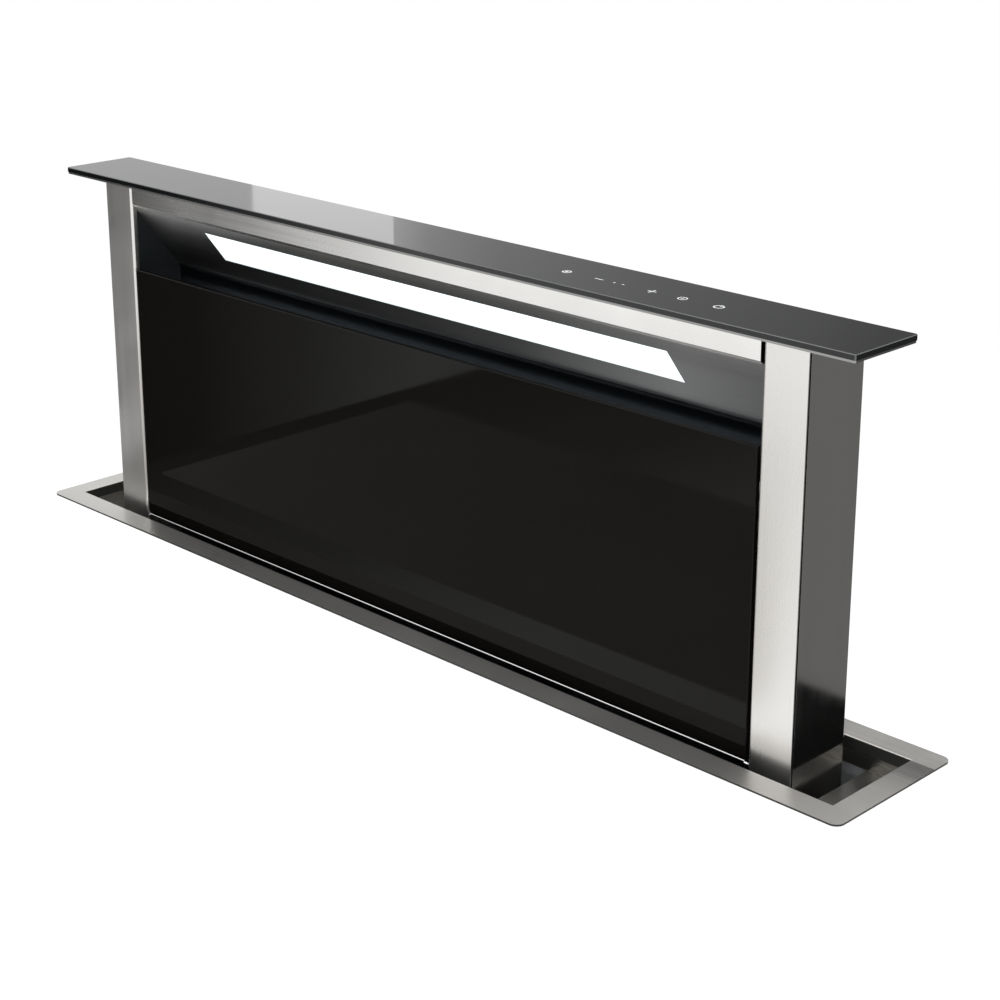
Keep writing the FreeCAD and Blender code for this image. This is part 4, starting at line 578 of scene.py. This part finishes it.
def screw_head():
    """A pan head with a cross recess, on its back at the middle of the scene."""
    bpy.ops.object.select_all(action="DESELECT")
    bpy.ops.mesh.primitive_cylinder_add(vertices=20, radius=SCREW_RADIUS, depth=SCREW_TALL,
                                        location=(0, 0, SCREW_TALL / 2))
    head = bpy.context.object
    bpy.ops.object.transform_apply(location=True, rotation=True, scale=True)
    dome = head.modifiers.new("dome", "BEVEL")
    dome.width = SCREW_DOME
    dome.segments = 3
    dome.angle_limit = math.radians(60)
    bpy.ops.object.modifier_apply(modifier="dome")
    for long_x, long_y in ((CROSS_HALF_LONG, CROSS_HALF_WIDE), (CROSS_HALF_WIDE, CROSS_HALF_LONG)):
        cut_away(head, slab("cross", (-long_x, -long_y, CROSS_FLOOR), (long_x, long_y, CROSS_TOP)))
    only(head)
    bpy.ops.object.shade_smooth_by_angle(angle=math.radians(35))
    wear(head, plain_metal("screw_steel", (0.44, 0.44, 0.45), (0.60, 0.60, 0.61), 0.30))
    return head


def facing(axis, degrees):
    return Matrix.Rotation(math.radians(degrees), 4, axis)


FACES_BACK = facing("X", -90)
FACES_FRONT = facing("X", 90)


def screws(head, name, body, turn, places):
    """One object of equal screw heads, at these places on a face that looks the way of the turn."""
    made = []
    for number, place in enumerate(places):
        copy = head.copy()
        copy.data = head.data.copy()
        bpy.context.scene.collection.objects.link(copy)
        driven = facing("Z", SCREW_TURN_FIRST + SCREW_TURN_STEP * number)
        copy.matrix_world = Matrix.Translation(place) @ turn @ driven
        made.append(copy)
    only(*made)
    bpy.ops.object.join()
    bpy.ops.object.transform_apply(location=True, rotation=True, scale=True)
    made[0].name = name
    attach(made[0], body)


def spaced(low, high, count):
    return [low + (high - low) * step / (count - 1) for step in range(count)]


def both_ends(x, y, heights):
    """A row of places up each end of a panel."""
    return [(side * x, y, z) for side in (-1, 1) for z in heights]


def house_rows(panel, y):
    heights = spaced(panel[0].z + ROW_FOOT, panel[1].z - HOUSE_ROW_HEAD, 5)
    return both_ends(panel[1].x - HOUSE_SCREW_INSET, y, heights)


def all_screws(head):
    heights = spaced(ROW_FOOT, SIDE[1].z - TOWER_ROW_HEAD, 4)
    screws(head, "screws_tower_rear", "tower", FACES_BACK,
           both_ends(SIDE[1].x - FOLD_SCREW_INSET, SIDE[1].y, heights))
    screws(head, "screws_housing_rear", "chassis", FACES_BACK, house_rows(HOUSE_REAR, HOUSE_REAR[1].y))
    screws(head, "screws_housing_front", "chassis", FACES_FRONT, house_rows(HOUSE_FRONT, HOUSE_FRONT[0].y))
    screws(head, "screws_box_lid", "chassis", FACES_FRONT,
           [(x, LID[0].y, z) for x in (LID[0].x + HOUSE_SCREW_INSET, LID[1].x - HOUSE_SCREW_INSET)
            for z in (LID[0].z + HOUSE_SCREW_INSET, LID[1].z - HOUSE_SCREW_INSET)])


# ---- stage: worktop, floor and surround ----

def seen_or_mirrored(tree):
    """One for rays from the camera, and for those that a mirror or a glass sends on."""
    seen = add_node(tree, "ShaderNodeLightPath")
    direct = calc(tree, "MAXIMUM", seen.outputs["Is Camera Ray"], seen.outputs["Is Glossy Ray"])
    return calc(tree, "MAXIMUM", direct, seen.outputs["Is Transmission Ray"])


def paper_white(name, glow, spread):
    """Pale surface that shows as white behind the object and keeps a faint shadow."""
    made, tree, shader = principled(name, Roughness=0.7)
    shader.inputs["Base Color"].default_value = (0.8, 0.8, 0.8, 1.0)
    glowing = add_node(tree, "ShaderNodeEmission", Strength=glow)
    veil = add_node(tree, "ShaderNodeBsdfDiffuse")
    veil.inputs["Color"].default_value = (spread, spread, spread, 1.0)
    both = add_node(tree, "ShaderNodeAddShader")
    link(tree, glowing.outputs[0], both.inputs[0])
    link(tree, veil.outputs[0], both.inputs[1])
    pick = add_node(tree, "ShaderNodeMixShader")
    link(tree, seen_or_mirrored(tree), pick.inputs[0])
    link(tree, shader.outputs[0], pick.inputs[1])
    link(tree, both.outputs[0], pick.inputs[2])
    link(tree, pick.outputs[0], node_of(made, "OUTPUT_MATERIAL").inputs["Surface"])
    return made


def worktop():
    """Worktop with the cut-out that the housing hangs in."""
    top = slab("worktop", WORKTOP_LOW, WORKTOP_HIGH)
    cut_away(top, slab("cut_out", CUT_OUT_LOW, CUT_OUT_HIGH))
    wear(top, paper_white("worktop_white", 0.93, 0.15))


def floor():
    bpy.ops.object.select_all(action="DESELECT")
    bpy.ops.mesh.primitive_plane_add(size=FLOOR_WIDE, location=(0, 0, GROUND - FLOOR_GAP))
    made = bpy.context.object
    made.name = "floor"
    wear(made, paper_white("floor_white", 0.95, 0.12))


def surround():
    """White surround; the part of it that lights the object is at a plain level."""
    made = bpy.data.worlds.new("surround")
    bpy.context.scene.world = made
    made.use_nodes = True
    tree = made.node_tree
    tree.nodes.clear()
    white = add_node(tree, "ShaderNodeBackground", Strength=1.0)
    white.inputs["Color"].default_value = (1.0, 1.0, 1.0, 1.0)
    soft = add_node(tree, "ShaderNodeBackground", Strength=0.45)
    soft.inputs["Color"].default_value = (0.95, 0.97, 1.0, 1.0)
    pick = add_node(tree, "ShaderNodeMixShader")
    link(tree, seen_or_mirrored(tree), pick.inputs[0])
    link(tree, soft.outputs[0], pick.inputs[1])
    link(tree, white.outputs[0], pick.inputs[2])
    out = add_node(tree, "ShaderNodeOutputWorld")
    link(tree, pick.outputs[0], out.inputs["Surface"])


# ---- stage: cards that only the metal and the glass mirror ----

def glowing_tone(name):
    """A material that only glows, for its colour to be linked."""
    made = bpy.data.materials.new(name)
    made.use_nodes = True
    tree = made.node_tree
    tree.nodes.clear()
    glow = add_node(tree, "ShaderNodeEmission")
    out = add_node(tree, "ShaderNodeOutputMaterial")
    link(tree, glow.outputs[0], out.inputs["Surface"])
    return made, tree, glow


def clear_from_below(made, tree, glow):
    """Lets rays through that meet the card from behind."""
    side = add_node(tree, "ShaderNodeNewGeometry")
    clear = add_node(tree, "ShaderNodeBsdfTransparent")
    pick = add_node(tree, "ShaderNodeMixShader")
    link(tree, side.outputs["Backfacing"], pick.inputs[0])
    link(tree, glow.outputs[0], pick.inputs[1])
    link(tree, clear.outputs[0], pick.inputs[2])
    link(tree, pick.outputs[0], node_of(made, "OUTPUT_MATERIAL").inputs["Surface"])


def only_mirrored(made, finish):
    wear(made, finish)
    for ray in HIDDEN_FROM:
        setattr(made, "visible_" + ray, False)


def aim(made, target):
    made.rotation_mode = "QUATERNION"
    made.rotation_quaternion = (Vector(target) - made.location).to_track_quat("-Z", "Y")


def tone_ramp(tree, tones):
    """Greys from one end of a card to the other, as (place, grey) stops."""
    spread = add_node(tree, "ShaderNodeUVMap", uv_map="UVMap")
    split = add_node(tree, "ShaderNodeSeparateXYZ")
    link(tree, spread.outputs["UV"], split.inputs[0])
    ramp = add_node(tree, "ShaderNodeValToRGB")
    link(tree, split.outputs["X"], ramp.inputs[0])
    stops = ramp.color_ramp.elements
    while len(stops) < len(tones):
        stops.new(0.5)
    for stop, (at, grey) in zip(stops, tones):
        stop.position = at
    for stop, (at, grey) in zip(stops, tones):
        stop.color = (grey, grey, grey, 1.0)
    return ramp.outputs["Color"]


def card(name, place, target, wide, tall, tones):
    """A card set square to the line to its target, or flat where it has none. A flat one is
    mirrored only from above."""
    bpy.ops.object.select_all(action="DESELECT")
    bpy.ops.mesh.primitive_plane_add(size=1.0, location=place)
    made = bpy.context.object
    made.name = name
    made.scale = (wide, tall, 1.0)
    if target:
        aim(made, target)
    finish, tree, glow = glowing_tone(name + "_tone")
    link(tree, tone_ramp(tree, tones), glow.inputs["Color"])
    if not target:
        clear_from_below(finish, tree, glow)
    only_mirrored(made, finish)


def cards():
    """Greys that the brushed steel and the glass mirror, from beyond the edges of the picture."""
    nearly_black = ((0.0, 0.005), (1.0, 0.005))
    card("card_left", (-1.623, -0.477, 0.06), (-0.623, 0.523, 0.06), 1.575, 1.08,
         ((0.0, 0.03), (0.72, 0.035), (0.79, 0.07), (0.89, 0.38), (1.0, 1.0)))
    card("card_right", (0.76, 0.50, -0.02), (0.16, -0.30, -0.02), 1.25, 0.86, ((0.0, 0.16), (1.0, 0.13)))
    card("card_low", (0.80, 0.10, -0.238), (0.80, -1.0, -0.238), 0.95, 0.47, nearly_black)
    card("card_rim", (0.425, 0.0445, 0.013), (0.425, -1.0, 0.013), 0.10, 0.021, nearly_black)
    card("card_flange", (0.412, 0.0, 0.0034), None, 0.066, 0.134, ((0.0, 0.004), (1.0, 0.004)))
    card("card_intake", (0.0, -0.0045, 0.2190), None, 0.680, 0.034,
         ((0.0, 0.0), (0.35, 0.02), (0.60, 0.10), (0.84, 0.40), (1.0, 0.20)))
    card("card_back", (-0.50, 1.5, 0.88), (-0.50, 0.0, 0.88), 2.4, 0.85,
         ((0.0, 0.14), (0.54, 0.22), (0.60, 0.29), (0.73, 0.37), (0.883, 0.52), (0.96, 0.70), (1.0, 1.0)))
    card("card_worktop", (0.164, -0.343, 0.0004), None, 1.232, 0.554,
         ((0.0, 0.10), (0.25, 0.35), (0.45, 1.0), (1.0, 1.0)))


def patch_card():
    """Grey patch on the worktop, mirrored by the front glass; its right side slants so that the
    right column mirrors the bare worktop."""
    made = slab("card_patch", PATCH_LOW, PATCH_HIGH)
    start_x, start_y, slant = PATCH_RIGHT
    for corner in made.data.vertices:
        if corner.co.x > 0.0:
            corner.co.x = start_x + slant * (corner.co.y - start_y)
    finish, tree, glow = glowing_tone("patch_tone")
    marks = use_group(tree, "Handling marks", Size=5.0)
    tone = blend(tree, marks.outputs["Marks"], (0.34, 0.325, 0.30), (0.48, 0.46, 0.42))
    link(tree, tone, glow.inputs["Color"])
    only_mirrored(made, finish)


# ---- stage: lamps and camera ----

def soft_lamp(name, place, target, wide, tall, power):
    data = bpy.data.lights.new(name, "AREA")
    data.shape = "RECTANGLE"
    data.size = wide
    data.size_y = tall
    data.energy = power
    made = bpy.data.objects.new(name, data)
    bpy.context.scene.collection.objects.link(made)
    made.location = place
    aim(made, target)


def lamps():
    soft_lamp("key", (0.9, -1.5, 1.7), (0.0, 0.0, 0.1), 1.4, 1.2, 26.0)
    soft_lamp("top", (-0.2, 0.3, 1.9), (0.0, 0.0, 0.1), 1.6, 1.0, 18.0)
    soft_lamp("rim", (-1.87, 1.52, 0.81), (-0.075, 0.0, 0.30), 0.34, 0.5, 0.37)


def camera():
    data = bpy.data.cameras.new("camera")
    data.sensor_width = SENSOR
    data.lens = LENS
    data.shift_y = LENS_SHIFT
    made = bpy.data.objects.new("camera", data)
    bpy.context.scene.collection.objects.link(made)
    made.location = EYE
    made.rotation_euler = (math.radians(90.0 - EYE_DOWN), 0.0, math.radians(EYE_TURN))
    bpy.context.scene.camera = made


# ---- the whole scene ----

paint_by_place()
for piece in NODES.values():
    dress(piece)
head = screw_head()
all_screws(head)
bpy.data.objects.remove(head)
worktop()
floor()
surround()
cards()
patch_card()
lamps()
camera()
bpy.context.scene.view_settings.view_transform = "Standard"
